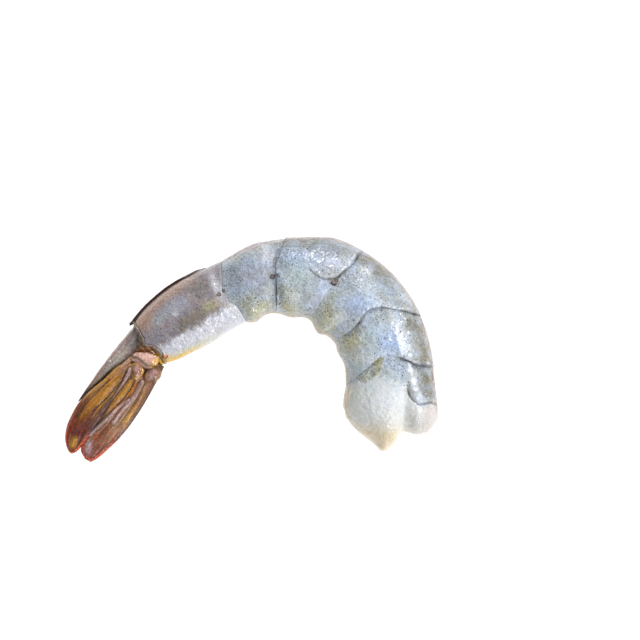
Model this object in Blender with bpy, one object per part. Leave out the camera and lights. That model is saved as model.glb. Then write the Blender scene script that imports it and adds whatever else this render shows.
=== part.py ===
"""A raw tiger prawn, peeled with its tail left on, lying on its side.

Metres, +Z up. The head end is cut off and lies at +X, the tail fan points to -X, the curled
belly faces -Y and the prawn's right side is on top. The origin is under the middle of its
outline, on the surface that it lies on. Lengths below are in millimetres, and the last step
of every mesh makes them metres.

The abdomen is worked out along its midline: s runs from the tail joint (0) to the cut front
end, t runs across it from the belly (-1) to the back (+1). The tail fan has its own frame:
a runs along the tail from the joint, v runs towards the back.
"""

import math
from bisect import bisect_right

import bmesh
import bpy

MM = 0.001
GAP = 0.3

# Abdomen: s, heading of the midline in degrees, height of the back, depth of the belly, half width.
STATIONS = [
    (0.0, 38.2, 5.9, 6.5, 4.6),
    (5.0, 35.7, 7.0, 7.8, 5.3),
    (12.5, 31.2, 7.7, 8.6, 5.9),
    (22.5, 23.9, 7.5, 8.0, 6.3),
    (30.0, 14.9, 8.4, 7.9, 7.3),
    (37.5, 0.0, 9.1, 8.8, 8.0),
    (45.0, -18.3, 10.2, 9.2, 8.5),
    (52.5, -39.9, 11.0, 10.3, 8.8),
    (60.0, -58.1, 11.2, 9.7, 8.9),
    (67.5, -73.7, 11.1, 9.6, 8.8),
    (75.0, -85.0, 10.9, 10.1, 8.6),
    (82.5, -92.4, 11.5, 10.5, 8.0),
    (92.0, -97.0, 11.4, 10.6, 7.0),
]
HEADING, BACK, BELLY, HALF_WIDTH = (
    [(row[0], row[column]) for row in STATIONS] for column in (1, 2, 3, 4)
)
JOINT = (-24.42, 1.75)
MIDLINE_STEP = 0.25
MIDLINE_SPARE = 8
SQUARENESS = 2 / 2.25
BELLY_NARROWING = 0.14
# How far the underside is pressed flat by the prawn's own weight.
PRESS = 0.7

# Where each segment meets the next: s at the given t.
TAIL_EDGE = [(-1.0, -0.3), (-0.5, 0.5), (-0.1, -1.1), (0.3, 0.0), (1.0, -0.2)]
SHELL_EDGE = [(-1.0, 23.4), (-0.5, 22.8), (-0.2, 21.5), (0.1, 21.2), (0.5, 22.3), (1.0, 23.5)]
# Each fold of the flesh: its edge, the side that stands proud (+1 towards the head, -1 towards
# the tail), the height of that lip, and the share of it that is left at the back's line.
FOLDS = [
    ([(-1.0, 32.7), (-0.5, 33.9), (0.0, 34.4), (0.3, 34.5), (0.6, 35.7), (1.0, 36.8)], 1, 0.55, 0.5),
    ([(-1.0, 44.8), (-0.5, 46.4), (0.0, 46.8), (0.3, 48.0), (0.6, 49.0), (1.0, 49.4)], -1, 0.4, 0.2),
    ([(-1.0, 59.2), (-0.5, 59.2), (0.1, 57.6), (0.3, 58.4), (0.6, 60.8), (1.0, 63.5)], -1, 0.45, 0.2),
    ([(-1.0, 74.8), (-0.5, 70.8), (0.0, 68.5), (0.3, 69.8), (0.6, 71.8), (1.0, 72.8)], -1, 0.5, 0.2),
]
BELLY_SHARE = 0.6
LIP_REACH = 2.6
GROOVE_REACH = 1.0
GROOVE_SHARE = 0.7
SKIN_EDGE = [(-1.0, 76.0), (-0.4, 73.5), (0.1, 74.9), (0.38, 76.4), (0.6, 80.0), (1.0, 80.0)]
FRONT_EDGE = [
    (-1.0, 82.6),
    (-0.64, 87.2),
    (-0.36, 89.4),
    (-0.07, 91.6),
    (0.12, 89.9),
    (0.33, 86.4),
    (0.55, 86.9),
    (0.78, 86.3),
    (1.0, 83.0),
]

# Rounded forms on the flesh: s, t, reach along s, reach along t, height.
SWELLINGS = [
    (26.0, -0.95, 2.2, 0.45, 0.9),
    (37.8, -0.95, 3.4, 0.45, 0.7),
    (49.5, -0.95, 3.4, 0.40, 0.8),
    (53.0, -0.95, 2.0, 0.40, 0.5),
    (64.0, -0.95, 3.0, 0.40, 0.5),
    (40.5, 0.45, 4.0, 0.40, 0.5),
    (54.0, 0.1, 4.0, 0.45, 0.5),
    (64.5, 0.2, 3.5, 0.45, 0.5),
    (83.0, -0.35, 4.5, 0.45, 0.8),
    (83.5, 0.75, 2.6, 0.28, 0.6),
]
# The finger of muscle behind the front end, and the hollow between the two front lobes.
RIDGE = [(71.5, 0.42), (75.5, 0.52), (79.0, 0.64)]
RIDGE_REACH = 1.2
RIDGE_HEIGHT = 0.8
VALLEY = [(78.0, 0.34), (82.0, 0.30), (87.0, 0.32)]
VALLEY_REACH = 1.6
VALLEY_DEPTH = 0.9

# Where the flesh has rings of points, and how its front end rounds off.
RING_POINTS = 44
SPANS = (0.25, 0.5, 0.75)
FOLD_SIDES = (0.12, 0.9)
REAR_NARROWING = 0.97
REAR_BEVEL = 0.6
FRONT_START = 0.2
FRONT_STEPS = (0.35, 0.6, 0.78, 0.9, 0.97, 1.0)
FRONT_BLUNTNESS = 2.4
FRONT_RIM = 0.12

# The shelled segment. Its keel runs along the back and ends in a spine over the tail joint.
SHELL_POINTS = 36
SHELL_SPANS = (0.08, 0.18, 0.3, 0.42, 0.54, 0.66, 0.76, 0.86, 0.94)
SHELL_REAR = ((0.0, 0.8), (0.25, 0.96))
KEEL_END = 19.0
KEEL_FADE = 4.0
KEEL_HEIGHT = 0.55
SPINE_STEPS = (-1.1, -0.2)

# Tail fan, in its own frame. Each outline is a list of (a, lower v, upper v).
FAN_HEADING = math.radians(239.1)
FAN_MIDDLE_Z = 4.0
FAN_DROOP = 0.022
TELSON = [
    (-0.1, 1.7, 5.0),
    (1.6, 0.8, 5.3),
    (4.0, 1.1, 5.7),
    (8.0, 2.3, 6.3),
    (13.0, 4.1, 6.8),
    (18.0, 6.1, 7.1),
    (20.6, 7.0, 7.2),
]
TELSON_HALF_WIDTH = [(0.0, 1.9), (6.0, 1.8), (13.0, 1.2), (20.6, 0.3)]
TELSON_SHEAR = 0.5
TELSON_SHEAR_END = 8.0
TELSON_ROOT_MIDDLE = 3.3
INNER_BLADE = [
    (6.3, -1.6, 2.0),
    (9.0, -0.8, 3.5),
    (13.0, -0.2, 4.6),
    (18.0, 0.2, 6.3),
    (22.0, 0.5, 6.9),
    (26.0, 0.8, 6.6),
    (29.0, 1.0, 5.6),
    (31.0, 1.4, 4.0),
    (31.8, 2.0, 2.8),
]
OUTER_BLADE = [
    (3.0, -6.1, -4.9),
    (4.5, -6.3, -3.0),
    (6.0, -6.4, -1.4),
    (9.0, -6.5, 0.0),
    (13.0, -6.6, 0.8),
    (18.0, -6.4, 1.2),
    (23.0, -5.7, 1.5),
    (27.5, -4.5, 1.4),
    (30.0, -3.6, 0.7),
    (31.3, -2.8, -1.3),
]
INNER_RISE = 2.75
OUTER_RISE = 1.85
ROOT_RISE_SHARE = 0.72
RISE_START = 0.15
BLADE_THICKNESS = 0.55
BLADE_EDGE = 0.28
BLADE_RIM_SHARE = 0.25
BLADE_END_SHARE = 0.55
BLADE_ARCH = 0.034
RIB_HEIGHT = 0.4
RIB_REACH = 0.55
RIB_PLACE = 0.45
# The joint piece at the blades' root: a, lower v, upper v, inner z and outer z from the fan's middle.
FAN_BASE = [
    (1.2, -3.3, -1.7, 0.8, 2.4),
    (1.7, -4.1, -1.1, 0.5, 3.2),
    (2.2, -4.4, -0.4, 0.5, 3.5),
    (2.7, -4.6, 0.4, 0.6, 3.7),
    (3.5, -4.6, 1.3, 2.3, 3.8),
    (4.6, -4.1, 1.7, 2.35, 3.7),
    (5.3, -3.5, 1.7, 2.35, 3.5),
    (5.9, -2.6, 1.3, 2.4, 3.1),
]


def smooth(table, x):
    """A smooth curve through the table's points, held level outside them."""
    xs = [row[0] for row in table]
    ys = [row[1] for row in table]
    if x <= xs[0]:
        return ys[0]
    if x >= xs[-1]:
        return ys[-1]
    i = bisect_right(xs, x) - 1
    slopes = [(ys[k + 1] - ys[k]) / (xs[k + 1] - xs[k]) for k in range(len(xs) - 1)]

    def tangent(k):
        before = slopes[max(k - 1, 0)]
        after = slopes[min(k, len(slopes) - 1)]
        return 0.0 if before * after <= 0 else 2 * before * after / (before + after)

    width = xs[i + 1] - xs[i]
    f = (x - xs[i]) / width
    rise = ys[i + 1] - ys[i]
    bend = f * (1 - f) * ((1 - f) * (tangent(i) * width - rise) + f * (rise - tangent(i + 1) * width))
    return ys[i] + f * rise + bend


def midline():
    """Points along the midline, one for each step of s."""
    points = [JOINT]
    for i in range(round(STATIONS[-1][0] / MIDLINE_STEP) + MIDLINE_SPARE):
        heading = math.radians(smooth(HEADING, (i + 0.5) * MIDLINE_STEP))
        x, y = points[-1]
        points.append((x + MIDLINE_STEP * math.cos(heading), y + MIDLINE_STEP * math.sin(heading)))
    return points


MIDLINE = midline()


def place(s, v):
    """The point at distance v above the midline, at s along it. It runs straight on past the joint."""
    heading = math.radians(smooth(HEADING, s))
    if s < 0:
        x = JOINT[0] + s * math.cos(heading)
        y = JOINT[1] + s * math.sin(heading)
    else:
        i = int(s / MIDLINE_STEP)
        f = s / MIDLINE_STEP - i
        x = MIDLINE[i][0] * (1 - f) + MIDLINE[i + 1][0] * f
        y = MIDLINE[i][1] * (1 - f) + MIDLINE[i + 1][1] * f
    return x - v * math.sin(heading), y + v * math.cos(heading)


def path_distance(path, s, t, t_scale):
    """Distance in millimetres from (s, t) to a path of (s, t) points."""
    distances = []
    for (s0, t0), (s1, t1) in zip(path, path[1:]):
        ds, dt = s1 - s0, (t1 - t0) * t_scale
        f = ((s - s0) * ds + (t - t0) * t_scale * dt) / (ds * ds + dt * dt)
        f = min(max(f, 0.0), 1.0)
        distances.append(math.hypot(s - s0 - f * ds, (t - t0) * t_scale - f * dt))
    return min(distances)


def bump(distance, reach):
    return math.exp(-((distance / reach) ** 2))


def fold_relief(s, t):
    """The raised lip on one side of each fold, and the groove beside it."""
    height = 0.0
    for edge, lip, size, back_share in FOLDS:
        x = (s - smooth(edge, t)) * lip
        size *= smooth([(-1.0, BELLY_SHARE), (-0.5, 1.0), (0.6, 1.0), (1.0, back_share)], t)
        if x >= 0:
            height += size * math.exp(-x / LIP_REACH)
        else:
            height -= GROOVE_SHARE * size * math.exp(x / GROOVE_REACH)
    return height


def flesh_relief(s, t):
    height = fold_relief(s, t)
    for s0, t0, s_reach, t_reach, size in SWELLINGS:
        height += size * bump(s - s0, s_reach) * bump(t - t0, t_reach)
    half_height = smooth(BACK, s)
    height += RIDGE_HEIGHT * bump(path_distance(RIDGE, s, t, half_height), RIDGE_REACH)
    height -= VALLEY_DEPTH * bump(path_distance(VALLEY, s, t, half_height), VALLEY_REACH)
    return height


def keel_relief(s, t):
    """Only the points on the back's own line rise, so the keel is a thin ridge."""
    if t < 0.999:
        return 0.0
    return KEEL_HEIGHT * min(1.0, max(0.0, (KEEL_END - s) / KEEL_FADE))


def rounded(value):
    """A circle's sine or cosine, made squarer."""
    return math.copysign(abs(value) ** SQUARENESS, value)


def section_point(s, angle, narrow, relief):
    """A point of the abdomen's cross-section at s. Angle 0 is the top side, 90 degrees the back."""
    sine, cosine = math.sin(angle), math.cos(angle)
    t = rounded(sine)
    height = smooth(BACK if t > 0 else BELLY, s)
    width = smooth(HALF_WIDTH, s)
    grown = relief(s, t)
    side = width * rounded(cosine) * (1 - BELLY_NARROWING * max(0.0, -t))
    z = (side + grown * cosine) * narrow
    x, y = place(s, height * t + grown * sine)
    return x, y, max(0.0, width - PRESS + z)


def ring(edge, shift, count, narrow, relief):
    """A closed ring of points, at edge(t) + shift along the body."""
    angles = [math.pi / 2 - 2 * math.pi * i / count for i in range(count)]
    return [section_point(edge(rounded(math.sin(a))) + shift, a, narrow, relief) for a in angles]


def edge_of(table):
    return lambda t: smooth(table, t)


def between(first, second, f):
    return lambda t: first(t) * (1 - f) + second(t) * f


def skin(name, rings, paired=0):
    """A closed mesh through rings of points. Strips across each end close it.

    A strip joins each point to the one facing it. Rings start on the back's line, or, with
    paired at 1, at the first of two points that face each other.
    """
    mesh = bpy.data.meshes.new(name)
    bm = bmesh.new()
    loops = [[bm.verts.new([c * MM for c in p]) for p in points] for points in rings]
    count = len(loops[0])
    for a, b in zip(loops, loops[1:]):
        for i in range(count):
            j = (i + 1) % count
            bm.faces.new((a[i], a[j], b[j], b[i]))
    for loop, turned in ((loops[0], True), (loops[-1], False)):
        for i in range(count // 2 - paired):
            corners = [loop[i], loop[i + 1], loop[-i - 1 - paired], loop[-i - paired]]
            corners = list(dict.fromkeys(corners))
            bm.faces.new(corners[::-1] if turned else corners)
    bmesh.ops.recalc_face_normals(bm, faces=bm.faces)
    bm.to_mesh(mesh)
    bm.free()
    obj = bpy.data.objects.new(name, mesh)
    bpy.context.collection.objects.link(obj)
    mesh.shade_smooth()
    mesh.set_sharp_from_angle(angle=math.radians(40))
    return obj


def make_meat():
    """The peeled flesh, from the shell's edge to the cut front end."""
    edges = [edge_of(SHELL_EDGE)] + [edge_of(fold[0]) for fold in FOLDS] + [edge_of(SKIN_EDGE)]
    rings = [ring(edges[0], GAP / 2, RING_POINTS, REAR_NARROWING, flesh_relief)]
    rings.append(ring(edges[0], REAR_BEVEL, RING_POINTS, 1, flesh_relief))
    for number, (first, second) in enumerate(zip(edges, edges[1:])):
        if number:
            rings += [ring(first, side, RING_POINTS, 1, flesh_relief) for side in FOLD_SIDES]
        rings += [ring(between(first, second, f), 0, RING_POINTS, 1, flesh_relief) for f in SPANS]
        if number < len(FOLDS):
            rings += [ring(second, -side, RING_POINTS, 1, flesh_relief) for side in FOLD_SIDES[::-1]]
    start, front = edges[-1], edge_of(FRONT_EDGE)
    rings += [ring(between(start, front, f), 0, RING_POINTS, 1, flesh_relief) for f in (0, FRONT_START)]
    for q in FRONT_STEPS:
        narrow = max(FRONT_RIM, (1 - q**FRONT_BLUNTNESS) ** (1 / FRONT_BLUNTNESS))
        edge = between(start, front, FRONT_START + (1 - FRONT_START) * q)
        rings.append(ring(edge, 0, RING_POINTS, narrow, flesh_relief))
    return skin("meat", rings)


def make_tail_segment():
    """The last segment, which keeps its shell, its keel and the keel's spine."""
    rear, front = edge_of(TAIL_EDGE), edge_of(SHELL_EDGE)
    rings = [ring(rear, shift, SHELL_POINTS, narrow, keel_relief) for shift, narrow in SHELL_REAR]
    for points, s in zip(rings, SPINE_STEPS):
        points[0] = (*place(s, BACK[0][1] + KEEL_HEIGHT), points[0][2])
    rings += [ring(between(rear, front, f), 0, SHELL_POINTS, 1, keel_relief) for f in SHELL_SPANS]
    rings.append(ring(front, -GAP / 2, SHELL_POINTS, 1, keel_relief))
    return skin("tail_segment", rings)


def fan_place(a, v, z):
    """A point of the tail fan's frame. The fan droops a little towards its tips."""
    x = JOINT[0] + a * math.cos(FAN_HEADING) + v * math.sin(FAN_HEADING)
    y = JOINT[1] + a * math.sin(FAN_HEADING) - v * math.cos(FAN_HEADING)
    return x, y, FAN_MIDDLE_Z - FAN_DROOP * a + z


def outline_at(outline, f):
    """(a, lower v, upper v) at share f of the outline's length."""
    a = outline[0][0] + f * (outline[-1][0] - outline[0][0])
    lower = [(row[0], row[1]) for row in outline]
    upper = [(row[0], row[2]) for row in outline]
    return a, smooth(lower, a), smooth(upper, a)


def make_blade(name, outline, rise, side, along=18, across=8):
    """A thin leaf of the fan, arched outwards, with one rib along its middle."""
    rings = []
    for i in range(along + 1):
        f = (1 - math.cos(math.pi * i / along)) / 2
        a, low, high = outline_at(outline, f)
        closing = BLADE_END_SHARE if i in (0, along) else 1
        swell = (1 - ROOT_RISE_SHARE) * math.sin(math.pi * min(1.0, RISE_START + f))
        outer, inner = [], []
        for j in range(across + 1):
            g = j / across
            v = low + (high - low) * g
            middle = rise * (ROOT_RISE_SHARE + swell) - BLADE_ARCH * v * v
            rib = RIB_HEIGHT * math.sin(math.pi * f) * bump((g - RIB_PLACE) * (high - low), RIB_REACH)
            edge = min(1.0, g / BLADE_RIM_SHARE, (1 - g) / BLADE_RIM_SHARE) * closing
            half = (BLADE_EDGE + (BLADE_THICKNESS - BLADE_EDGE) * edge) / 2
            outer.append(fan_place(a, v, side * (middle + half + rib)))
            inner.append(fan_place(a, v, side * (middle - half)))
        rings.append(outer + inner[::-1])
    return skin(name, rings, paired=1)


def make_telson(along=14, around=12):
    """The pointed middle blade of the fan."""
    rings = []
    for i in range(along + 1):
        a, low, high = outline_at(TELSON, i / along)
        half = smooth(TELSON_HALF_WIDTH, a)
        shear = TELSON_SHEAR * max(0.0, 1 - max(a, 0.0) / TELSON_SHEAR_END)
        points = []
        for k in range(around):
            angle = math.pi / 2 - 2 * math.pi * k / around
            v = (low + high) / 2 + (high - low) / 2 * math.sin(angle)
            points.append(fan_place(a - shear * (v - TELSON_ROOT_MIDDLE), v, half * math.cos(angle)))
        rings.append(points)
    return skin("telson", rings)


def make_base(name, side, around=14):
    """The short joint piece between the last segment and one pair of blades."""
    rings = []
    for a, low, high, inner, outer in FAN_BASE:
        points = []
        for k in range(around):
            angle = math.pi / 2 - 2 * math.pi * k / around
            v = (low + high) / 2 + (high - low) / 2 * math.sin(angle)
            z = (inner + outer) / 2 + (outer - inner) / 2 * math.cos(angle)
            points.append(fan_place(a, v, side * z))
        rings.append(points)
    return skin(name, rings)


def material(name, colour, roughness, coat):
    made = bpy.data.materials.new(name)
    made.use_nodes = True
    shader = made.node_tree.nodes["Principled BSDF"]
    shader.inputs["Base Color"].default_value = (*colour, 1)
    shader.inputs["Roughness"].default_value = roughness
    shader.inputs["Coat Weight"].default_value = coat
    made.diffuse_color = (*colour, 1)
    return made


def main():
    for obj in list(bpy.data.objects):
        bpy.data.objects.remove(obj)
    flesh = material("raw_flesh", (0.52, 0.56, 0.60), 0.35, 0.5)
    shell = material("tail_shell", (0.42, 0.38, 0.40), 0.3, 0.4)
    fan = material("fan_shell", (0.30, 0.16, 0.09), 0.3, 0.4)
    make_meat().data.materials.append(flesh)
    make_tail_segment().data.materials.append(shell)
    make_telson().data.materials.append(shell)
    for side, word in ((1, "right"), (-1, "left")):
        make_base("fan_base_" + word, side).data.materials.append(shell)
        make_blade("inner_blade_" + word, INNER_BLADE, INNER_RISE, side).data.materials.append(fan)
        make_blade("outer_blade_" + word, OUTER_BLADE, OUTER_RISE, side).data.materials.append(fan)


main()
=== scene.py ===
"""The looks of a raw tiger prawn, peeled with its tail left on, lying on its side.

Metres, +Z up. The head end is cut off and lies at +X, the tail fan points to -X, the curled
belly faces -Y and the prawn's right side is on top. Lengths in the tables below are in
millimetres, and every mesh is made metres as its points are set.

The abdomen is worked out along its midline: s runs from the tail joint (0) to the cut front
end, t runs across it from the belly (-1) to the back (+1). The tail fan has its own frame:
a runs along the tail from the joint, v runs towards the back.
"""

import math

import bpy
import numpy as np
from bpy.props import FloatProperty, FloatVectorProperty, PointerProperty
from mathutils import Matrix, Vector


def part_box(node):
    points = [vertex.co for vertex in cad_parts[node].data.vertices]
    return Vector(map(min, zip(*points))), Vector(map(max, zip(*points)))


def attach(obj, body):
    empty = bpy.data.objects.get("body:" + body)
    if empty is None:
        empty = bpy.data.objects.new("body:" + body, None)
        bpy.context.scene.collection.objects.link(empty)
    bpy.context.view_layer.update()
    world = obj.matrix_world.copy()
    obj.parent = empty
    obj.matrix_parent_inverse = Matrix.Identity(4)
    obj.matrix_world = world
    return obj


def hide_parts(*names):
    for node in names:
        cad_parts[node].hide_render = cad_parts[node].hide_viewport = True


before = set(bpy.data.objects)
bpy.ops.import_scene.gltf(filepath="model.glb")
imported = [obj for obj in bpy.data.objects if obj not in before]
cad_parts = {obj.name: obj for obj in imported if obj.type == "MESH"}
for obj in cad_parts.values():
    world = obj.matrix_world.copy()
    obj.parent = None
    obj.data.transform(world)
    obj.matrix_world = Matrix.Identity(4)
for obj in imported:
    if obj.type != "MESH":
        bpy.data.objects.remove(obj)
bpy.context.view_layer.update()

bl_info = {
    "name": "Raw tiger prawn",
    "version": (1, 0, 0),
    "blender": (4, 5, 0),
    "location": "3D View > Sidebar > Prawn",
    "description": "Models a raw peeled tiger prawn with its tail on, and the table it lies on",
    "category": "Object",
}

MM = 0.001
SIDES = ((1, "right"), (-1, "left"))


def columns_of(table):
    """The table's later columns, each against its first."""
    return [[(row[0], row[number]) for row in table] for number in range(1, len(table[0]))]


# Abdomen: s, heading of the midline in degrees, height of the back, depth of the belly, half width.
STATIONS = [
    (0.0, 38.2, 5.9, 6.5, 4.6),
    (5.0, 35.7, 7.0, 7.8, 5.3),
    (12.5, 31.2, 7.7, 8.6, 5.9),
    (22.5, 23.9, 7.5, 8.0, 6.3),
    (30.0, 14.9, 8.4, 7.9, 7.3),
    (37.5, 0.0, 9.1, 8.8, 8.0),
    (45.0, -18.3, 10.2, 9.2, 8.5),
    (52.5, -39.9, 11.0, 10.3, 8.8),
    (60.0, -58.1, 11.2, 9.7, 8.9),
    (67.5, -73.7, 11.1, 9.6, 8.8),
    (75.0, -85.0, 10.9, 10.1, 8.6),
    (82.5, -92.4, 11.5, 10.5, 8.0),
    (92.0, -97.0, 11.4, 10.6, 7.0),
]
HEADING, BACK, BELLY, HALF_WIDTH = columns_of(STATIONS)
JOINT = (-24.42, 1.75)
MIDLINE_STEP = 0.25
MIDLINE_SPARE = 8
SQUARENESS = 2 / 2.25
BELLY_NARROWING = 0.14
# How deep the lower side is pressed flat on the table.
PRESS = 0.7
# What is left of a cross-section that closes to a point.
POLE = 0.0001
# Points nearer to each other than this, in metres, become one.
MERGE_DISTANCE = 2e-6

# Where each segment meets the next: s at the given t.
TAIL_EDGE = [(-1.0, -0.3), (-0.5, 0.4), (-0.25, 0.0), (0.0, -1.2), (0.3, -0.8), (1.0, -0.2)]
SHELL_EDGE = [(-1.0, 23.4), (-0.5, 22.8), (-0.2, 21.5), (0.1, 21.2), (0.5, 22.3), (1.0, 23.5)]
# Each fold of the flesh: its edge, the side that stands proud (+1 towards the head, -1 towards
# the tail), the height of that lip, and the share of it that is left at the back's line.
FOLDS = [
    ([(-1.0, 32.7), (-0.5, 33.9), (0.0, 34.4), (0.3, 34.5), (0.6, 35.7), (1.0, 36.8)], 1, 0.55, 0.5),
    ([(-1.0, 44.8), (-0.5, 46.4), (0.0, 46.8), (0.3, 48.0), (0.6, 49.0), (1.0, 49.4)], -1, 0.4, 0.2),
    ([(-1.0, 59.2), (-0.5, 59.2), (0.1, 57.6), (0.3, 58.4), (0.6, 60.8), (1.0, 63.5)], -1, 0.45, 0.2),
    ([(-1.0, 74.8), (-0.5, 70.8), (0.0, 68.5), (0.3, 69.8), (0.6, 71.8), (1.0, 72.8)], -1, 0.5, 0.2),
]
FOLD_EDGES = [fold[0] for fold in FOLDS]
# How wide each fold's dark line is, in millimetres, at the given t. It fades out where it narrows.
FOLD_LINES = [
    [(-0.95, 0.0), (-0.7, 0.16), (-0.3, 0.3), (0.05, 0.28), (0.2, 0.14), (0.6, 0.13), (0.9, 0.3)],
    [(-0.1, 0.0), (0.08, 0.1), (0.2, 0.26), (0.5, 0.15), (0.8, 0.32), (0.93, 0.55), (1.0, 0.4)],
    [(-0.95, 0.0), (-0.6, 0.16), (-0.3, 0.3), (0.0, 0.2), (0.2, 0.26), (0.45, 0.12), (0.62, 0.12),
     (0.9, 0.6)],
    [(-0.7, 0.0), (-0.5, 0.08), (-0.3, 0.1), (-0.08, 0.0), (0.24, 0.0), (0.35, 0.2), (0.6, 0.4),
     (1.0, 0.45)],
]
# The rounded lower end of the second fold's lobe: t at the given s.
HOOK = [(39.0, 0.5), (40.2, 0.36), (41.55, 0.24), (43.5, 0.11), (45.3, 0.07), (46.6, 0.12), (47.6, 0.21)]
# How high and how far up its lip is, and where it rises and ends: s.
HOOK_HEIGHT = 0.3
HOOK_REACH = 2.5
HOOK_START = (41.0, 42.6)
HOOK_STOP = (48.0, 47.2)
# The bright band under that lobe: s of its tail side and of its head side, at the given t.
BAND_TAIL = [(-0.8, 41.8), (-0.65, 42.7), (-0.46, 43.7), (-0.25, 44.4), (0.04, 44.8)]
BAND_HEAD = [(-0.77, 45.1), (-0.28, 47.2), (0.07, 47.0)]
# The crease round the end of the finger of muscle: s and t.
FINGER_CREASE = [
    (75.8, 0.37), (78.2, 0.43), (79.4, 0.49), (80.1, 0.58), (80.0, 0.7), (79.7, 0.84), (80.1, 0.96),
]
CREASE_DEPTH = 0.3
CREASE_REACH = 0.3
# Where the speckled olive patch beyond the last fold ends: s at the given t.
OLIVE_END = [(-0.78, 73.2), (-0.53, 74.0), (-0.39, 73.4), (-0.2, 72.1), (-0.05, 68.7)]
# How far a lip and the groove beside it reach, and how deep the groove is for its lip's height.
LIP_REACH = 2.6
GROOVE_REACH = 0.7
GROOVE_SHARE = 0.4
# What is left of a fold's height at the belly, and where its line has faded out.
BELLY_SHARE = 0.6
FADED_SHARE = 0.15
# Where the pigmented skin ends and where the cut front end is: s at the given t.
SKIN_EDGE = [(-1.0, 76.0), (-0.4, 73.5), (0.1, 74.9), (0.38, 76.4), (0.6, 80.0), (1.0, 80.0)]
FRONT_EDGE = [
    (-1.0, 81.0), (-0.95, 83.6), (-0.84, 85.4), (-0.64, 87.4), (-0.36, 89.4), (-0.07, 91.6),
    (0.12, 89.9), (0.33, 86.4), (0.55, 86.9), (0.78, 86.3), (1.0, 83.0),
]
FRONT_START = 0.2
FRONT_BLUNTNESS = 2.4

# Rounded forms on the flesh: s, t, reach along s, reach along t, height.
SWELLINGS = [
    (26.0, -0.95, 2.2, 0.45, 0.9),
    (37.8, -0.95, 3.4, 0.45, 0.7),
    (49.5, -0.95, 3.4, 0.40, 0.8),
    (53.0, -0.95, 2.0, 0.40, 0.5),
    (64.0, -0.95, 3.0, 0.40, 0.5),
    (40.5, 0.45, 4.0, 0.40, 0.5),
    (54.0, 0.1, 4.0, 0.45, 0.5),
    (64.5, 0.2, 3.5, 0.45, 0.5),
    (83.0, -0.35, 4.5, 0.45, 0.8),
    (83.5, 0.75, 2.6, 0.28, 0.6),
    (31.0, 1.0, 4.2, 0.3, 0.45),
    (44.5, 1.0, 3.4, 0.25, 0.6),
    (79.5, -1.0, 2.8, 0.3, 0.45),
]
# The finger of muscle behind the front end, and the hollow between the two front lobes: s and t.
RIDGE = [(71.5, 0.42), (75.0, 0.48), (78.7, 0.57)]
RIDGE_REACH = 1.2
RIDGE_HEIGHT = 0.8
VALLEY = [(78.0, 0.34), (82.0, 0.30), (87.0, 0.32)]
VALLEY_REACH = 1.6
VALLEY_DEPTH = 0.9

# The shelled segment's keel runs along the back and ends in a spine over the tail joint.
KEEL_END = 20.2
KEEL_FADE = 2.4
KEEL_HEIGHT = 0.55
KEEL_REACH = 0.32
SPINE_LENGTH = 0.9

# Tail fan, in its own frame. Each outline is a list of (a, lower v, upper v).
FAN_HEADING = math.radians(239.1)
FAN_MIDDLE_Z = 4.0
FAN_DROOP = 0.022
TELSON = [
    (-0.1, 1.7, 5.0), (1.6, 0.8, 5.3), (4.0, 1.1, 5.7), (8.0, 2.3, 6.3), (13.0, 4.1, 6.8),
    (18.0, 6.1, 7.1), (20.6, 7.0, 7.2),
]
TELSON_HALF_WIDTH = [(0.0, 1.9), (6.0, 1.8), (13.0, 1.2), (20.6, 0.3)]
TELSON_SHEAR = 0.5
TELSON_SHEAR_END = 8.0
TELSON_ROOT_MIDDLE = 3.3
INNER_BLADE = [
    (6.3, -1.6, 2.0), (9.0, -0.8, 3.5), (13.0, -0.2, 4.6), (18.0, 0.2, 6.3), (22.0, 0.5, 6.9),
    (26.0, 0.8, 6.6), (29.0, 1.0, 5.6), (31.0, 1.4, 4.0), (31.8, 2.0, 2.8),
]
OUTER_BLADE = [
    (3.0, -6.1, -4.9), (4.5, -6.3, -3.0), (6.0, -6.4, -1.4), (9.0, -6.5, 0.0), (13.0, -6.6, 0.8),
    (18.0, -6.4, 1.2), (23.0, -5.7, 1.5), (27.5, -4.5, 1.4), (30.0, -3.6, 0.7), (31.3, -2.8, -1.3),
]
BLADE_GRID = (240, 190)
INNER_RISE = 2.75
OUTER_RISE = 1.85
ROOT_RISE_SHARE = 0.72
RISE_START = 0.15
BLADE_THICKNESS = 0.6
BLADE_RIM = 0.7
BLADE_ARCH = 0.034
# How far apart the streaks of a blade's two faces are taken from.
FACES_APART = 30.0
# The joint piece at the blades' root: a, lower v, upper v, inner z and outer z from the fan's middle.
FAN_BASE = [
    (1.2, -3.3, -1.7, 0.8, 2.4),
    (1.7, -4.1, -1.1, 0.5, 3.2),
    (2.2, -4.4, -0.4, 0.5, 3.5),
    (2.7, -4.6, 0.4, 0.6, 3.7),
    (3.5, -4.6, 1.3, 2.3, 3.8),
    (4.6, -4.1, 1.7, 2.35, 3.7),
    (5.3, -3.5, 1.7, 2.35, 3.5),
    (5.9, -2.6, 1.3, 2.4, 3.1),
]

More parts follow.
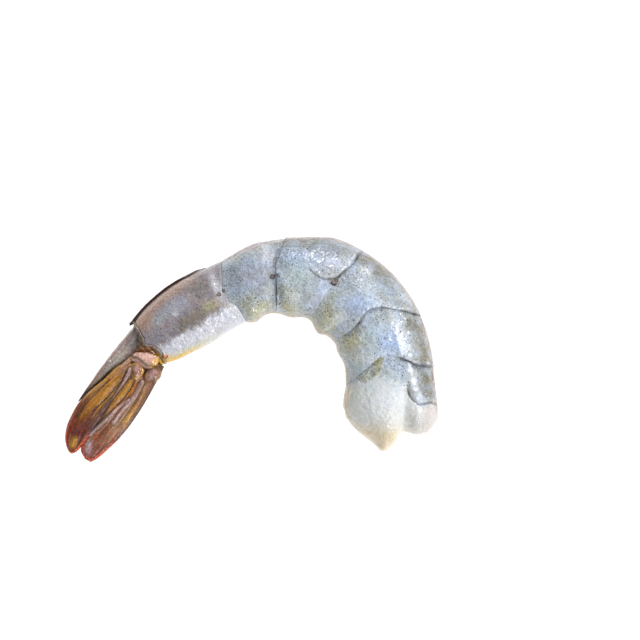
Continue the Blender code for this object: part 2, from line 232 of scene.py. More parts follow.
# Ribs and grooves of the blades: a path of (a, v), reach, height and the colour that it carries.
INNER_VEINS = [
    ([(7.6, 0.4), (10.2, 0.0), (14.5, -0.1), (17.5, 0.1), (20.0, 0.7)], 0.42, 0.4, "vein_lilac"),
    ([(16.5, 0.4), (20.6, 1.0), (24.0, 1.3), (28.0, 1.6)], 0.55, 0.2, "vein_purple"),
    ([(19.5, 2.6), (23.3, 2.6), (27.0, 3.7)], 0.45, 0.1, "vein_purple"),
    ([(8.4, 0.9), (10.9, 0.7), (15.8, 1.6), (20.6, 2.9)], 0.3, -0.25, "vein_black"),
    ([(11.5, 0.5), (14.5, 0.7), (18.0, 1.3)], 0.24, -0.15, "vein_olive"),
    ([(9.5, -0.6), (14.5, -0.55), (18.0, -0.1), (23.1, 0.45), (27.5, 0.8)], 0.26, -0.15, "vein_black"),
    ([(12.0, 3.2), (16.0, 4.2), (20.0, 5.2), (23.5, 5.6)], 0.3, 0.14, "vein_brown"),
    ([(10.5, 1.9), (15.0, 2.6), (20.0, 4.0), (23.0, 4.6)], 0.6, 0.1, "blade_gold"),
]
OUTER_VEINS = [
    ([(9.2, -1.7), (11.4, -2.1), (13.8, -1.9), (16.5, -1.2)], 0.3, -0.22, "vein_black"),
    ([(9.4, -1.2), (12.0, -1.1), (15.0, -0.9)], 0.3, 0.1, "gold_light"),
    ([(9.0, -2.7), (12.3, -2.6), (17.5, -2.4), (21.7, -1.7), (25.0, -0.9)], 0.24, -0.16, "vein_orange"),
    ([(8.8, -3.6), (12.4, -3.8), (15.3, -3.2), (18.2, -2.8), (20.5, -2.6)], 0.45, 0.3, "vein_lilac"),
    ([(14.0, -2.9), (17.0, -1.8), (22.2, -0.3), (26.0, 0.8)], 0.36, 0.36, "vein_lilac"),
    ([(8.4, -4.2), (11.0, -4.6), (14.5, -4.5), (18.6, -4.2), (20.9, -4.1)], 0.22, -0.16, "vein_olive"),
    ([(14.5, -5.1), (17.0, -5.1), (20.0, -4.9)], 0.45, 0.12, "gold_light"),
]

# Small rounded forms at the roots of the blades, in the fan's frame: name, (a, v, z) of the middle,
# half sizes, turn in degrees, and the colours of the crown, the ring and the upper and lower side.
KNOBS = [
    ("inner_root", (7.1, -1.15, 2.3), (2.1, 1.55, 1.15), -31,
     ("mauve", "gold_light", "dark_olive", "amber")),
    ("outer_root", (6.0, -4.5, 1.4), (2.4, 2.0, 1.2), 14, ("mauve", "amber", "vein_olive", "rim")),
    # The corner knob's pale upper side is a painted highlight.
    ("corner_root", (0.6, -5.0, 3.2), (0.7, 0.8, 0.75), 20, ("peach", "keel", "pale", "amber")),
    ("upper_root", (6.3, 1.8, 2.2), (3.3, 0.55, 0.6), 19, ("shell_pink", "gold_light", "pink", "amber")),
    ("middle_root", (6.2, 0.5, 1.4), (2.3, 1.6, 0.9), -10, ("vein_olive", "amber", "olive", "keel")),
]
# The ringed pits where segments hinge: s, t, half sizes and turn in degrees.
HINGES = [
    (20.3, 0.06, (0.6, 0.42, 0.3), 30),
    (21.6, 0.11, (0.4, 0.3, 0.25), 60),
    (33.5, 0.05, (0.66, 0.5, 0.28), 40),
    (34.8, 0.05, (0.34, 0.24, 0.2), -30),
    (47.7, 0.1, (0.95, 0.85, 0.4), 20),
]

# Cloudy patches of the flesh, some of them painted highlights: colour, s, t, reach along s, reach along t,
# share, change of dots.
FLESH_PATCHES = [
    ("lilac", 28.5, 0.2, 5.5, 0.55, 0.8, 0.0),
    ("slate", 24.2, 0.1, 2.0, 0.6, 0.95, 0.6),
    ("slate", 27.5, 0.6, 3.6, 0.28, 0.5, 0.35),
    ("olive", 25.6, -0.5, 2.5, 0.3, 0.6, 0.45),
    ("yellow_olive", 28.6, -0.8, 3.6, 0.24, 0.8, 0.1),
    ("pale", 32.3, -0.5, 1.4, 0.3, 0.5, -0.3),
    ("pale_skin_and_highlight", 32.9, 0.66, 1.7, 0.3, 0.8, -0.35),
    ("shell_pink", 30.0, 0.97, 4.0, 0.09, 0.8, 0.0),
    ("slate", 36.0, 0.55, 1.8, 0.45, 0.95, 0.8),
    ("back", 40.0, 0.92, 6.0, 0.26, 0.95, 0.9),
    ("dark_olive", 35.1, -0.4, 1.0, 0.45, 0.85, 0.7),
    ("olive", 36.7, -0.5, 1.3, 0.25, 0.7, 0.35),
    ("yellow_olive", 37.6, -0.8, 3.4, 0.2, 0.7, 0.1),
    ("pale", 38.6, -0.5, 1.8, 0.16, 0.7, -0.35),
    ("teal", 39.6, 0.05, 3.0, 0.35, 0.7, -0.1),
    ("flesh_blue", 40.0, 0.5, 3.4, 0.24, 0.5, 0.1),
    ("lilac", 44.6, 0.45, 2.8, 0.3, 0.7, -0.05),
    ("pale_skin_and_highlight", 45.6, 0.5, 1.6, 0.2, 0.3, -0.1),
    ("slate", 44.6, 0.72, 3.4, 0.26, 0.7, 0.25),
    ("slate", 50.0, 0.35, 2.4, 0.3, 0.55, 0.35),
    ("back", 52.5, 0.88, 4.6, 0.22, 0.95, 0.8),
    ("painted_highlight", 51.8, 0.66, 1.0, 0.1, 0.4, -0.2),
    ("slate", 57.0, 0.72, 3.0, 0.26, 0.65, 0.2),
    ("flesh_blue", 55.0, 0.0, 3.4, 0.3, 0.8, -0.05),
    ("olive", 49.8, -0.52, 2.8, 0.32, 0.6, 0.35),
    ("yellow_olive", 51.0, -0.8, 3.6, 0.24, 0.8, 0.1),
    ("pale", 54.2, -0.52, 1.8, 0.18, 0.7, -0.35),
    ("dark_olive", 60.7, -0.42, 1.1, 0.24, 0.6, 0.35),
    ("yellow_olive", 61.8, -0.68, 3.2, 0.34, 0.75, 0.25),
    ("teal", 63.6, -0.12, 3.2, 0.26, 0.7, -0.15),
    ("slate", 60.2, 0.15, 1.3, 0.25, 0.5, 0.25),
    ("flesh_blue", 66.2, 0.2, 3.0, 0.28, 0.95, 0.05),
    ("painted_highlight", 66.2, 0.42, 3.0, 0.07, 0.5, -0.1),
    ("back", 64.5, 0.86, 4.0, 0.26, 0.95, 0.8),
    ("back", 69.6, 0.86, 3.0, 0.2, 0.85, 0.7),
    ("pale", 68.2, -0.5, 2.6, 0.3, 0.6, -0.35),
    ("teal", 70.0, -0.75, 2.4, 0.3, 0.5, -0.2),
    ("slate", 70.8, 0.16, 2.0, 0.24, 0.5, 0.5),
    ("teal", 74.0, 0.1, 1.4, 0.22, 0.6, 0.1),
    ("back", 75.5, 0.84, 5.0, 0.3, 0.95, 0.6),
]
# Patches of the tail shell, in the same way, some of them painted highlights.
SHELL_PATCHES = [
    ("lilac", 11.0, 0.42, 3.6, 0.24, 0.7, 0.0),
    ("pale_skin_and_highlight", 9.2, 0.21, 0.8, 0.1, 0.6, -0.2),
    ("teal", 5.5, 0.42, 2.6, 0.2, 0.4, 0.1),
    ("shell_pink", 2.2, 0.7, 2.6, 0.34, 0.8, -0.4),
    ("back", 16.6, 0.5, 3.0, 0.3, 0.4, 0.1),
    ("olive", 17.2, -0.13, 2.2, 0.16, 0.8, 0.1),
    ("back", 12.0, -0.2, 4.6, 0.2, 0.7, 0.1),
    ("dark_olive", 9.6, -0.06, 0.5, 0.05, 0.9, 0.0),
    ("dark_olive", 8.3, -0.31, 0.4, 0.06, 0.8, 0.0),
    ("dark_olive", 14.0, 0.0, 1.4, 0.05, 0.5, 0.2),
    ("pale_skin_and_highlight", 20.6, 0.25, 1.2, 0.5, 0.75, -0.5),
    ("pale", 21.4, -0.62, 1.6, 0.3, 0.7, -0.3),
]


def light(*screen):
    """The scene's linear colour for a colour as a screen shows it, 0 to 255."""
    return [((c / 255 + 0.055) / 1.055) ** 2.4 if c > 10 else c / 255 / 12.92 for c in screen]


def colour_prop(name, description, *values):
    return FloatVectorProperty(
        name=name, description=description, default=light(*values), subtype="COLOR", size=3, min=0, max=1
    )


def length_prop(name, description, millimetres):
    default = millimetres * MM
    return FloatProperty(
        name=name, description=description, default=default, precision=5, subtype="DISTANCE", unit="LENGTH"
    )


class PrawnSizes(bpy.types.PropertyGroup):
    """Small sizes of the prawn's surface."""

    lip_overhang: length_prop("Lip overhang", "How far a fold's lip reaches over the groove", 0.18)
    lump_height: length_prop("Lump height", "Height of the soft lumps of the flesh", 0.24)
    lump_size: length_prop("Lump size", "Width of the soft lumps of the flesh", 2.4)
    ripple_height: length_prop("Ripple height", "Height of the ripples of the wet skin", 0.11)
    ripple_size: length_prop("Ripple size", "Width of the ripples of the wet skin", 0.95)
    wrinkle_height: length_prop("Wrinkle height", "Height of the finest wrinkles of the skin", 0.36)
    dot_spacing: length_prop("Dot spacing", "Distance between the large pigment dots", 0.9)
    shell_wall: length_prop("Shell wall", "Thickness of the tail shell at its open edge", 0.28)


class PrawnColours(bpy.types.PropertyGroup):
    """The prawn's colours, as the eye sees them in white light, with some painted highlights among them."""

    flesh: colour_prop("Flesh", "Translucent raw flesh", 170, 177, 182)
    flesh_blue: colour_prop("Blue flesh", "Flesh where the muscle is thickest", 152, 170, 200)
    lilac: colour_prop("Lilac flesh", "Flesh next to the tail shell", 156, 160, 176)
    slate: colour_prop("Slate flesh", "Dark flesh before a fold", 132, 142, 152)
    teal: colour_prop("Grey flesh", "Clear flesh in the middle of a segment", 168, 184, 188)
    # Partly painted highlight and sheen: besides the flesh's own pale skin, this colour is painted on wet
    # ridges, lips and patches where light gleams.
    pale_skin_and_highlight: colour_prop("Hazy flesh", "Flesh with a pale skin on it", 204, 206, 216)
    # Pale is also a painted highlight in some patches of the flesh, along the telson's middle and on the
    # corner knob's upper side.
    pale: colour_prop("Pale flesh", "Milky spots of the flesh", 202, 204, 198)
    olive: colour_prop("Olive", "Pigment of the belly lobes", 156, 154, 118)
    yellow_olive: colour_prop("Yellow olive", "Thin flesh of the belly lobes", 186, 182, 140)
    dark_olive: colour_prop("Dark olive", "Pigment next to a fold", 104, 100, 74)
    back: colour_prop("Back", "Pigment along the back", 108, 102, 84)
    # Painted highlight: the gleam of the brightest wet ridges, painted into the colour.
    painted_highlight: colour_prop("Gleam", "The brightest wet ridges", 238, 240, 246)
    cream: colour_prop("Cream", "Bare flesh of the cut front end", 200, 202, 201)
    tan: colour_prop("Tan", "Thin edges that light shines through", 198, 180, 142)
    rim: colour_prop("Rim", "The back's edge", 112, 82, 64)
    belly_rim: colour_prop("Belly rim", "The belly's edge", 170, 142, 88)
    fold: colour_prop("Fold", "The line in each fold", 34, 34, 26)
    dot: colour_prop("Dots", "Pigment dots", 38, 44, 48)
    shell: colour_prop("Shell", "Tail shell", 128, 122, 130)
    shell_pink: colour_prop("Pink shell", "Tail shell along the back", 170, 136, 118)
    shell_pale: colour_prop("Pale shell", "Tail shell along the belly", 194, 196, 206)
    keel: colour_prop("Keel", "The keel and the shell's thick edges", 46, 18, 4)
    peach: colour_prop("Peach", "Bright knobs and edges of the tail joint", 204, 140, 92)
    yellow: colour_prop("Yellow", "Fat under the shell at the tail joint", 206, 158, 6)
    amber: colour_prop("Amber", "Soft skin of the tail joint", 118, 72, 16)
    pink: colour_prop("Pink", "Knuckles of the fan", 208, 166, 156)
    mauve: colour_prop("Mauve", "Knobs of the fan", 156, 118, 114)
    blade_gold: colour_prop("Gold blade", "Middle of a blade", 166, 112, 32)
    gold_light: colour_prop("Light gold", "Thin edges and ridges of the blades", 186, 138, 50)
    blade_tan: colour_prop("Tan blade", "Root of a blade", 145, 107, 78)
    blade_brown: colour_prop("Brown blade", "A blade towards its tip", 98, 42, 8)
    crimson: colour_prop("Crimson", "Tips of the blades", 96, 12, 8)
    salmon: colour_prop("Salmon", "Fringe of the blades", 214, 100, 62)
    vein_brown: colour_prop("Brown vein", "Streaks of the blades", 66, 34, 12)
    vein_lilac: colour_prop("Lilac vein", "Ridges of the blades", 160, 138, 144)
    vein_black: colour_prop("Black vein", "The deepest lines of the blades", 18, 10, 10)
    vein_purple: colour_prop("Purple vein", "Shaded ridges of the inner blades", 84, 50, 60)
    vein_orange: colour_prop("Orange vein", "Thin line of the outer blades", 146, 62, 12)
    vein_olive: colour_prop("Olive vein", "Lines along the outer blades' edge", 92, 74, 22)


def smooth(table, x):
    """A smooth curve through the table's points, held level outside them."""
    xs, ys = (np.array([row[column] for row in table], float) for column in (0, 1))
    x = np.clip(x, xs[0], xs[-1])
    i = np.clip(np.searchsorted(xs, x, side="right") - 1, 0, len(xs) - 2)
    slopes = np.diff(ys) / np.diff(xs)
    before = np.concatenate([slopes[:1], slopes])
    after = np.concatenate([slopes, slopes[-1:]])
    agree = before * after > 0
    tangents = np.where(agree, 2 * before * after / np.where(agree, before + after, 1), 0)
    width = xs[i + 1] - xs[i]
    f = (x - xs[i]) / width
    rise = ys[i + 1] - ys[i]
    bend = f * (1 - f) * ((1 - f) * (tangents[i] * width - rise) + f * (rise - tangents[i + 1] * width))
    return ys[i] + f * rise + bend


def midline():
    """Points along the midline, one for each step of s."""
    steps = round(STATIONS[-1][0] / MIDLINE_STEP) + MIDLINE_SPARE
    heading = np.radians(smooth(HEADING, (np.arange(steps) + 0.5) * MIDLINE_STEP))
    x = JOINT[0] + np.concatenate([[0], np.cumsum(np.cos(heading))]) * MIDLINE_STEP
    y = JOINT[1] + np.concatenate([[0], np.cumsum(np.sin(heading))]) * MIDLINE_STEP
    return x, y


MIDLINE_X, MIDLINE_Y = midline()


def place(s, v):
    """The point at distance v above the midline, at s along it. It runs straight on past the joint."""
    heading = np.radians(smooth(HEADING, s))
    steps = np.arange(len(MIDLINE_X)) * MIDLINE_STEP
    before = np.minimum(s, 0)
    x = np.interp(s, steps, MIDLINE_X) + before * np.cos(heading)
    y = np.interp(s, steps, MIDLINE_Y) + before * np.sin(heading)
    return x - v * np.sin(heading), y + v * np.cos(heading)


def path_distance(path, x, y, y_scale=1.0):
    """Distance in millimetres from (x, y) to a path of such points."""
    nearest = np.full(np.shape(x), np.inf)
    for (x0, y0), (x1, y1) in zip(path, path[1:]):
        dx, dy = x1 - x0, (y1 - y0) * y_scale
        f = np.clip(((x - x0) * dx + (y - y0) * y_scale * dy) / (dx * dx + dy * dy), 0, 1)
        nearest = np.minimum(nearest, np.hypot(x - x0 - f * dx, (y - y0) * y_scale - f * dy))
    return nearest


def bump(distance, reach):
    return np.exp(-((distance / reach) ** 2))


def step(x, start, end):
    """0 before start, 1 after end and a smooth rise between. It falls where end is below start."""
    f = np.clip((x - start) / (end - start), 0, 1)
    return f * f * (3 - 2 * f)


def eased(share, evenness):
    """Shares of a way, drawn closer together at both ends. Evenness 1 leaves them as they are."""
    return evenness * share + (1 - evenness) * (1 - np.cos(math.pi * share)) / 2


def rounded(value):
    """A circle's sine or cosine, made squarer."""
    return np.sign(value) * np.abs(value) ** SQUARENESS


def fold_share(t, back_share):
    """The share of a fold's height that is left at t."""
    return smooth([(-1.0, BELLY_SHARE), (-0.5, 1.0), (0.6, 1.0), (1.0, back_share)], t)


def uneven(x, y, size):
    """Irregular patches about size across, from 0 to 1."""
    total = np.zeros(np.shape(x))
    for number in range(5):
        turn = 2.4 * number
        wave = math.pi * (0.8 + 0.35 * number) / size
        u = x * math.cos(turn) + y * math.sin(turn)
        v = y * math.cos(turn) - x * math.sin(turn)
        total = total + np.sin(wave * u + 1.7 * number + 1.4 * np.sin(0.6 * wave * v + number))
    return np.clip(0.5 + total / 6, 0, 1)


def above_hook(s, t):
    """Distance above the rounded end of the second fold's lobe, and where that end is sharp."""
    return (t - smooth(HOOK, s)) * smooth(BACK, s), step(s, *HOOK_START) * step(s, *HOOK_STOP)


def flesh_relief(s, t):
    """How far the flesh stands out of its plain form at (s, t)."""
    height = np.zeros(np.shape(s))
    for (edge, lip, size, back_share), line in zip(FOLDS, FOLD_LINES):
        x = (s - smooth(edge, t)) * lip
        seen = FADED_SHARE + (1 - FADED_SHARE) * np.minimum(1, smooth(line, t) / 0.15)
        share = size * fold_share(t, back_share) * seen
        raised = np.exp(-np.abs(x) / LIP_REACH)
        sunk = -GROOVE_SHARE * np.exp(-np.abs(x) / GROOVE_REACH)
        height = height + share * np.where(x >= 0, raised, sunk)
    for s0, t0, s_reach, t_reach, size in SWELLINGS:
        height = height + size * bump(s - s0, s_reach) * bump(t - t0, t_reach)
    half_height = smooth(BACK, s)
    height = height + RIDGE_HEIGHT * bump(path_distance(RIDGE, s, t, half_height), RIDGE_REACH)
    height = height - VALLEY_DEPTH * bump(path_distance(VALLEY, s, t, half_height), VALLEY_REACH)
    above, sharp = above_hook(s, t)
    raised = step(above, -0.1, 0.25) * np.exp(-np.maximum(above, 0) / HOOK_REACH)
    crease = path_distance(FINGER_CREASE, s, t, half_height)
    return height + HOOK_HEIGHT * sharp * raised - CREASE_DEPTH * bump(crease, CREASE_REACH)


def lip_shift(s, t, overhang):
    """How far a point slides along the body, so that each lip hangs over its groove."""
    shift = np.zeros(np.shape(s))
    for (edge, lip, *_), line in zip(FOLDS, FOLD_LINES):
        x = (s - smooth(edge, t)) * lip
        share = np.minimum(1, smooth(line, t) / 0.2) * np.where(x >= 0, -1.0, 0.35)
        shift = shift + lip * overhang * share * np.exp(-np.abs(x) / 0.4)
    return shift


def open_share(narrow):
    """1 where a cross-section is open, and down to 0 where it closes to a point."""
    return np.where(np.less(narrow, 0), np.minimum(1, -2 * narrow), 1)


def section(s, angle, narrow, relief, shift=0.0):
    """Points of the abdomen's cross-section at s. Angle 0 is the top side, 90 degrees the back."""
    sine, cosine = np.sin(angle), np.cos(angle)
    t = rounded(sine)
    height = np.where(t > 0, smooth(BACK, s), smooth(BELLY, s))
    width = smooth(HALF_WIDTH, s)
    side = width * rounded(cosine) * (1 - BELLY_NARROWING * np.maximum(0, -t))
    x, y = place(s + shift, height * t * np.where(narrow < 0, -narrow, 1) + relief * sine)
    z = np.maximum(0, width - PRESS + (side + relief * cosine) * np.abs(narrow))
    return np.stack([x, y, z], -1)


def fan_place(a, v, z):
    """Points of the tail fan's frame. The fan droops a little towards its tips."""
    x = JOINT[0] + a * math.cos(FAN_HEADING) + v * math.sin(FAN_HEADING)
    y = JOINT[1] + a * math.sin(FAN_HEADING) - v * math.cos(FAN_HEADING)
    return np.stack([x, y, FAN_MIDDLE_Z - FAN_DROOP * a + z], -1)


def each_at(table, x):
    """The value of each of the table's later columns at x."""
    return [smooth(column, x) for column in columns_of(table)]


def colour_of(name):
    """One of the prawn's colours, as the scene's settings have it."""
    return np.array(getattr(bpy.context.scene.prawn_colours, name))


class Paint:
    """Colours laid over a piece's points, one soft mask after another."""

    def __init__(self, count, base):
        self.values = np.tile(colour_of(base), (count, 1))

    def over(self, mask, name):
        share = np.clip(np.ravel(mask), 0, 1)[:, None]
        self.values = self.values * (1 - share) + colour_of(name) * share


def lay_patches(tint, patches, s, t, ragged, speckle):
    """Lays a table of patches over the tint and returns how many dots each point then has."""
    for name, middle_s, middle_t, reach_s, reach_t, share, dots in patches:
        off = ((s - middle_s) / reach_s) ** 2 + ((t - middle_t) / reach_t) ** 2
        mask = np.exp(-(off ** 1.3) * (0.6 + 0.8 * ragged))
        tint.over(share * mask, name)
        speckle = speckle + dots * mask
    return speckle


def add_grid(name, columns, rows):
    """A flat grid, and each of its points' shares of the way across (0 to 1) and along (0 to 1)."""
    bpy.ops.object.select_all(action="DESELECT")
    bpy.ops.mesh.primitive_grid_add(x_subdivisions=columns, y_subdivisions=rows, size=1)
    obj = bpy.context.active_object
    obj.name = obj.data.name = name
    points = np.empty(len(obj.data.vertices) * 3)
    obj.data.vertices.foreach_get("co", points)
    points = points.reshape(-1, 3)
    return obj, points[:, 0] + 0.5, points[:, 1] + 0.5


def add_tube(name, columns, rows):
    """A grid to roll up, with each point's angle round it from the top and share of the way along."""
    obj, across, along = add_grid(name, columns, rows)
    return obj, math.pi / 2 - 2 * math.pi * across, along


def shape(obj, points, tint, speckle, flow=None):
    """Moves a grid's points to their places, closes its seams and turns its faces outwards.

    Tint and speckle are the points' painted colour, painted light and shade included, and share of
    dots, and flow the place of each in millimetres for a pattern that follows the surface.
    """
    mesh = obj.data
    mesh.vertices.foreach_set("co", (points * MM).ravel())
    layer = mesh.attributes.new("tint", "FLOAT_COLOR", "POINT")
    layer.data.foreach_set("color", np.hstack([tint.values, np.ones((len(points), 1))]).ravel())
    layer = mesh.attributes.new("speckle", "FLOAT", "POINT")
    layer.data.foreach_set("value", np.clip(speckle, 0, 1))
    if flow is not None:
        layer = mesh.attributes.new("flow", "FLOAT_VECTOR", "POINT")
        layer.data.foreach_set("vector", np.stack(flow, -1).ravel())
    mesh.update()
    bpy.ops.object.mode_set(mode="EDIT")
    bpy.ops.mesh.select_all(action="SELECT")
    bpy.ops.mesh.remove_doubles(threshold=MERGE_DISTANCE)
    bpy.ops.mesh.dissolve_degenerate(threshold=MERGE_DISTANCE / 2)
    bpy.ops.mesh.select_all(action="SELECT")
    bpy.ops.mesh.normals_make_consistent(inside=False)
    bpy.ops.object.mode_set(mode="OBJECT")
    bpy.ops.object.shade_smooth()


def lump(obj, size, height):
    """Soft lumps over a whole piece."""
    texture = bpy.data.textures.new("lumps", "CLOUDS")
    texture.noise_scale = size
    texture.noise_depth = 2
    displace = obj.modifiers.new("lumps", "DISPLACE")
    displace.texture = texture
    displace.texture_coords = "LOCAL"
    displace.strength = height
    displace.mid_level = 0.5
    bpy.ops.object.modifier_apply(modifier=displace.name)


def keep_inside(obj, nodes):
    """Presses points that the lumps pushed out of the CAD nodes' box back onto it."""
    lows, highs = zip(*(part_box(node) for node in nodes))
    low = np.min([tuple(corner) for corner in lows], axis=0)
    high = np.max([tuple(corner) for corner in highs], axis=0)
    points = np.empty(len(obj.data.vertices) * 3)
    obj.data.vertices.foreach_get("co", points)
    points = np.clip(points.reshape(-1, 3), low, high)
    obj.data.vertices.foreach_set("co", points.ravel())
    obj.data.update()


def finish_piece(obj, material, lumps=(), nodes=(), within=()):
    """Gives a shaped piece its lumps of (size, height), its material and its place in the frame.

    Nodes are those that it stands for. It stays in their box, or in the box of the nodes within.
    """
    for size, height in lumps:
        lump(obj, size, height)
    if nodes or within:
        keep_inside(obj, within or nodes)
    obj.data.materials.append(material)
    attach(obj, "root")
    if nodes:
        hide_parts(*nodes)


class Finish:
    """One procedural material, built node by node."""

    def __init__(self, name):
        self.material = bpy.data.materials.new(name)
        self.material.use_nodes = True
        self.nodes = self.material.node_tree.nodes
        self.links = self.material.node_tree.links
        self.shader = self.nodes["Principled BSDF"]
        self.place = self.node("TexCoord").outputs["Object"]

    def node(self, kind, inputs=None, **settings):
        made = self.nodes.new("ShaderNode" + kind)
        for key, value in settings.items():
            setattr(made, key, value)
        for key, value in (inputs or {}).items():
            self.put(made.inputs[key], value)
        return made

    def put(self, socket, value):
        """Feeds a socket from another one, or gives it a number or a colour, by name or in full."""
        if isinstance(value, bpy.types.NodeSocket):
            self.links.new(value, socket)
        elif isinstance(value, str):
            socket.default_value = (*colour_of(value), 1)
        elif isinstance(value, (float, int)):
            socket.default_value = value
        else:
            socket.default_value = (*value, 1)

    def attribute(self, name, output="Fac"):
        return self.node("Attribute", attribute_name=name).outputs[output]

    def noise(self, size, detail=3.0, roughness=0.55, stretch=(1, 1, 1), source=None):
        """Noise from 0 to 1, about size across, in metres or in the source's own unit."""
        mapping = self.node("Mapping", {"Vector": source or self.place})
        mapping.inputs["Scale"].default_value = [1 / (size * share) for share in stretch]
        inputs = {"Vector": mapping.outputs[0], "Scale": 1.0, "Detail": detail, "Roughness": roughness}
        return self.node("TexNoise", inputs).outputs["Fac"]

    def cells(self, size, output="Distance"):
        return self.node("TexVoronoi", {"Vector": self.place, "Scale": 1 / size}).outputs[output]

    def math(self, first, second, operation="MULTIPLY"):
        return self.node("Math", {0: first, 1: second}, operation=operation).outputs[0]

    def span(self, value, low, high, to_low=0.0, to_high=1.0):
        """The value's smooth way from low to high, as a way from to_low to to_high."""
        inputs = {"Value": value, 1: low, 2: high, 3: to_low, 4: to_high}
        return self.node("MapRange", inputs, interpolation_type="SMOOTHSTEP").outputs[0]

    def mix(self, share, first, second, blend="MIX"):
        made = self.node("Mix", {0: share}, data_type="RGBA", blend_type=blend)
        self.put(made.inputs[6], first)
        self.put(made.inputs[7], second)
        return made.outputs[2]

    def shade(self, tint, noise, depth):
        """The tint made darker and lighter by up to depth."""
        return self.mix(1.0, tint, self.span(noise, 0.32, 0.68, 1 - depth, 1 + depth), "MULTIPLY")

    def spots(self, tint, colour, density, spacing, size, share):
        """The tint with round dots of mixed sizes on it, in a share of the cells as large as density."""
        chance = self.node("SeparateColor", {"Color": self.cells(spacing, output="Color")})
        spare = self.math(density, chance.outputs["Red"], "SUBTRACT")
        radius = self.span(chance.outputs["Green"], 0.0, 1.0, size * 0.5, size)
        radius = self.math(self.span(spare, -0.02, 0.1, 0.001, 1.0), radius)
        dots = self.span(self.math(self.cells(spacing), radius, "DIVIDE"), 1.2, 0.6)
        return self.mix(self.math(dots, share), tint, colour)

    def bump(self, height, depth, normal=None):
        """A bumped normal. Depth is in metres."""
        made = self.node("Bump", {"Height": height, "Distance": depth, "Strength": 1.0})
        if normal is not None:
            self.put(made.inputs["Normal"], normal)
        return made.outputs[0]

    def surface(self, colour, roughness, normal, **constants):
        self.put(self.shader.inputs["Base Color"], colour)
        self.put(self.shader.inputs["Roughness"], roughness)
        for socket in ("Normal", "Coat Normal"):
            self.put(self.shader.inputs[socket], normal)
        for name, value in constants.items():
            self.shader.inputs[name.replace("_", " ").title().replace("Ior", "IOR")].default_value = value
        return self.material


# The layer of water on flesh and shell.
WET = {"coat_weight": 0.8, "coat_roughness": 0.05, "coat_ior": 1.38}


def flesh_material():
    """Raw flesh: cloudy, wet, with pigment dots of two sizes in it."""
    sizes = bpy.context.scene.prawn_sizes
    kit = Finish("raw_flesh")
    cloud = kit.noise(0.0032)
    mottle = kit.noise(0.0012)
    grain = kit.noise(0.0005, 3.0, 0.65)
    plain = kit.attribute("tint", "Color")
    tint = kit.mix(kit.span(cloud, 0.4, 0.68, 0.0, 0.35), plain, "flesh_blue")
    tint = kit.mix(kit.span(kit.noise(0.0021), 0.5, 0.68, 0.0, 0.12), tint, "yellow_olive")
    tint = kit.shade(kit.shade(kit.shade(tint, cloud, 0.09), mottle, 0.1), grain, 0.14)
    tint = kit.mix(kit.span(kit.attribute("speckle"), 0.0, 0.18, 0.3, 1.0), plain, tint)
    speckle = kit.math(kit.attribute("speckle"), kit.span(mottle, 0.35, 0.62, 0.6, 1.25))
    freckles = kit.span(kit.noise(0.0004, 2.0), 0.53, 0.65, 0.0, 0.45)
    tint = kit.mix(kit.math(freckles, speckle), tint, "dot")
    tint = kit.spots(tint, "dot", speckle, sizes.dot_spacing * 0.45, 0.34, 0.8)
    tint = kit.spots(tint, "dot", speckle, sizes.dot_spacing * 0.8, 0.26, 0.9)
    wrinkles = kit.noise(0.0011, 2.0, 0.5)
    height = kit.math(wrinkles, kit.math(kit.cells(0.0005), 0.1), "ADD")
    return kit.surface(
        tint,
        kit.span(cloud, 0.2, 0.8, 0.26, 0.4),
        kit.bump(height, sizes.wrinkle_height),
        subsurface_weight=0.2,
        subsurface_scale=0.0008,
        subsurface_radius=(1.0, 0.85, 0.7),
        ior=1.33,
        **WET,
    )


def shell_material(name, gloss, dot_share):
    """Thin wet shell, finely pitted, with pigment dots."""
    sizes = bpy.context.scene.prawn_sizes
    kit = Finish(name)
    cloud = kit.noise(0.0022)
    grain = kit.noise(0.00045, 3.0, 0.65)
    plain = kit.attribute("tint", "Color")
    tint = kit.mix(kit.span(kit.noise(0.0017), 0.48, 0.66, 0.0, 0.22), plain, "shell_pink")
    tint = kit.mix(kit.span(kit.noise(0.0014), 0.5, 0.66, 0.0, 0.15), tint, "olive")
    tint = kit.shade(kit.shade(tint, cloud, 0.1), grain, 0.2)
    tint = kit.mix(kit.span(kit.attribute("speckle"), 0.05, 0.4, 0.3, 1.0), plain, tint)
    speckle = kit.math(kit.attribute("speckle"), kit.span(cloud, 0.35, 0.62, 0.6, 1.25))
    tint = kit.spots(tint, "dot", speckle, sizes.dot_spacing * 0.5, 0.34, dot_share * 0.6)
    tint = kit.spots(tint, "dot", speckle, sizes.dot_spacing * 0.8, 0.24, dot_share)
    height = kit.math(kit.noise(0.0009, 2.0), kit.math(kit.cells(0.0004), 0.15), "ADD")
    return kit.surface(
        tint,
        kit.span(cloud, 0.2, 0.8, gloss, gloss + 0.12),
        kit.bump(height, sizes.wrinkle_height * 0.8),
        subsurface_weight=0.1,
        subsurface_scale=0.0006,
        subsurface_radius=(1.0, 0.7, 0.5),
        ior=1.36,
        **WET,
    )


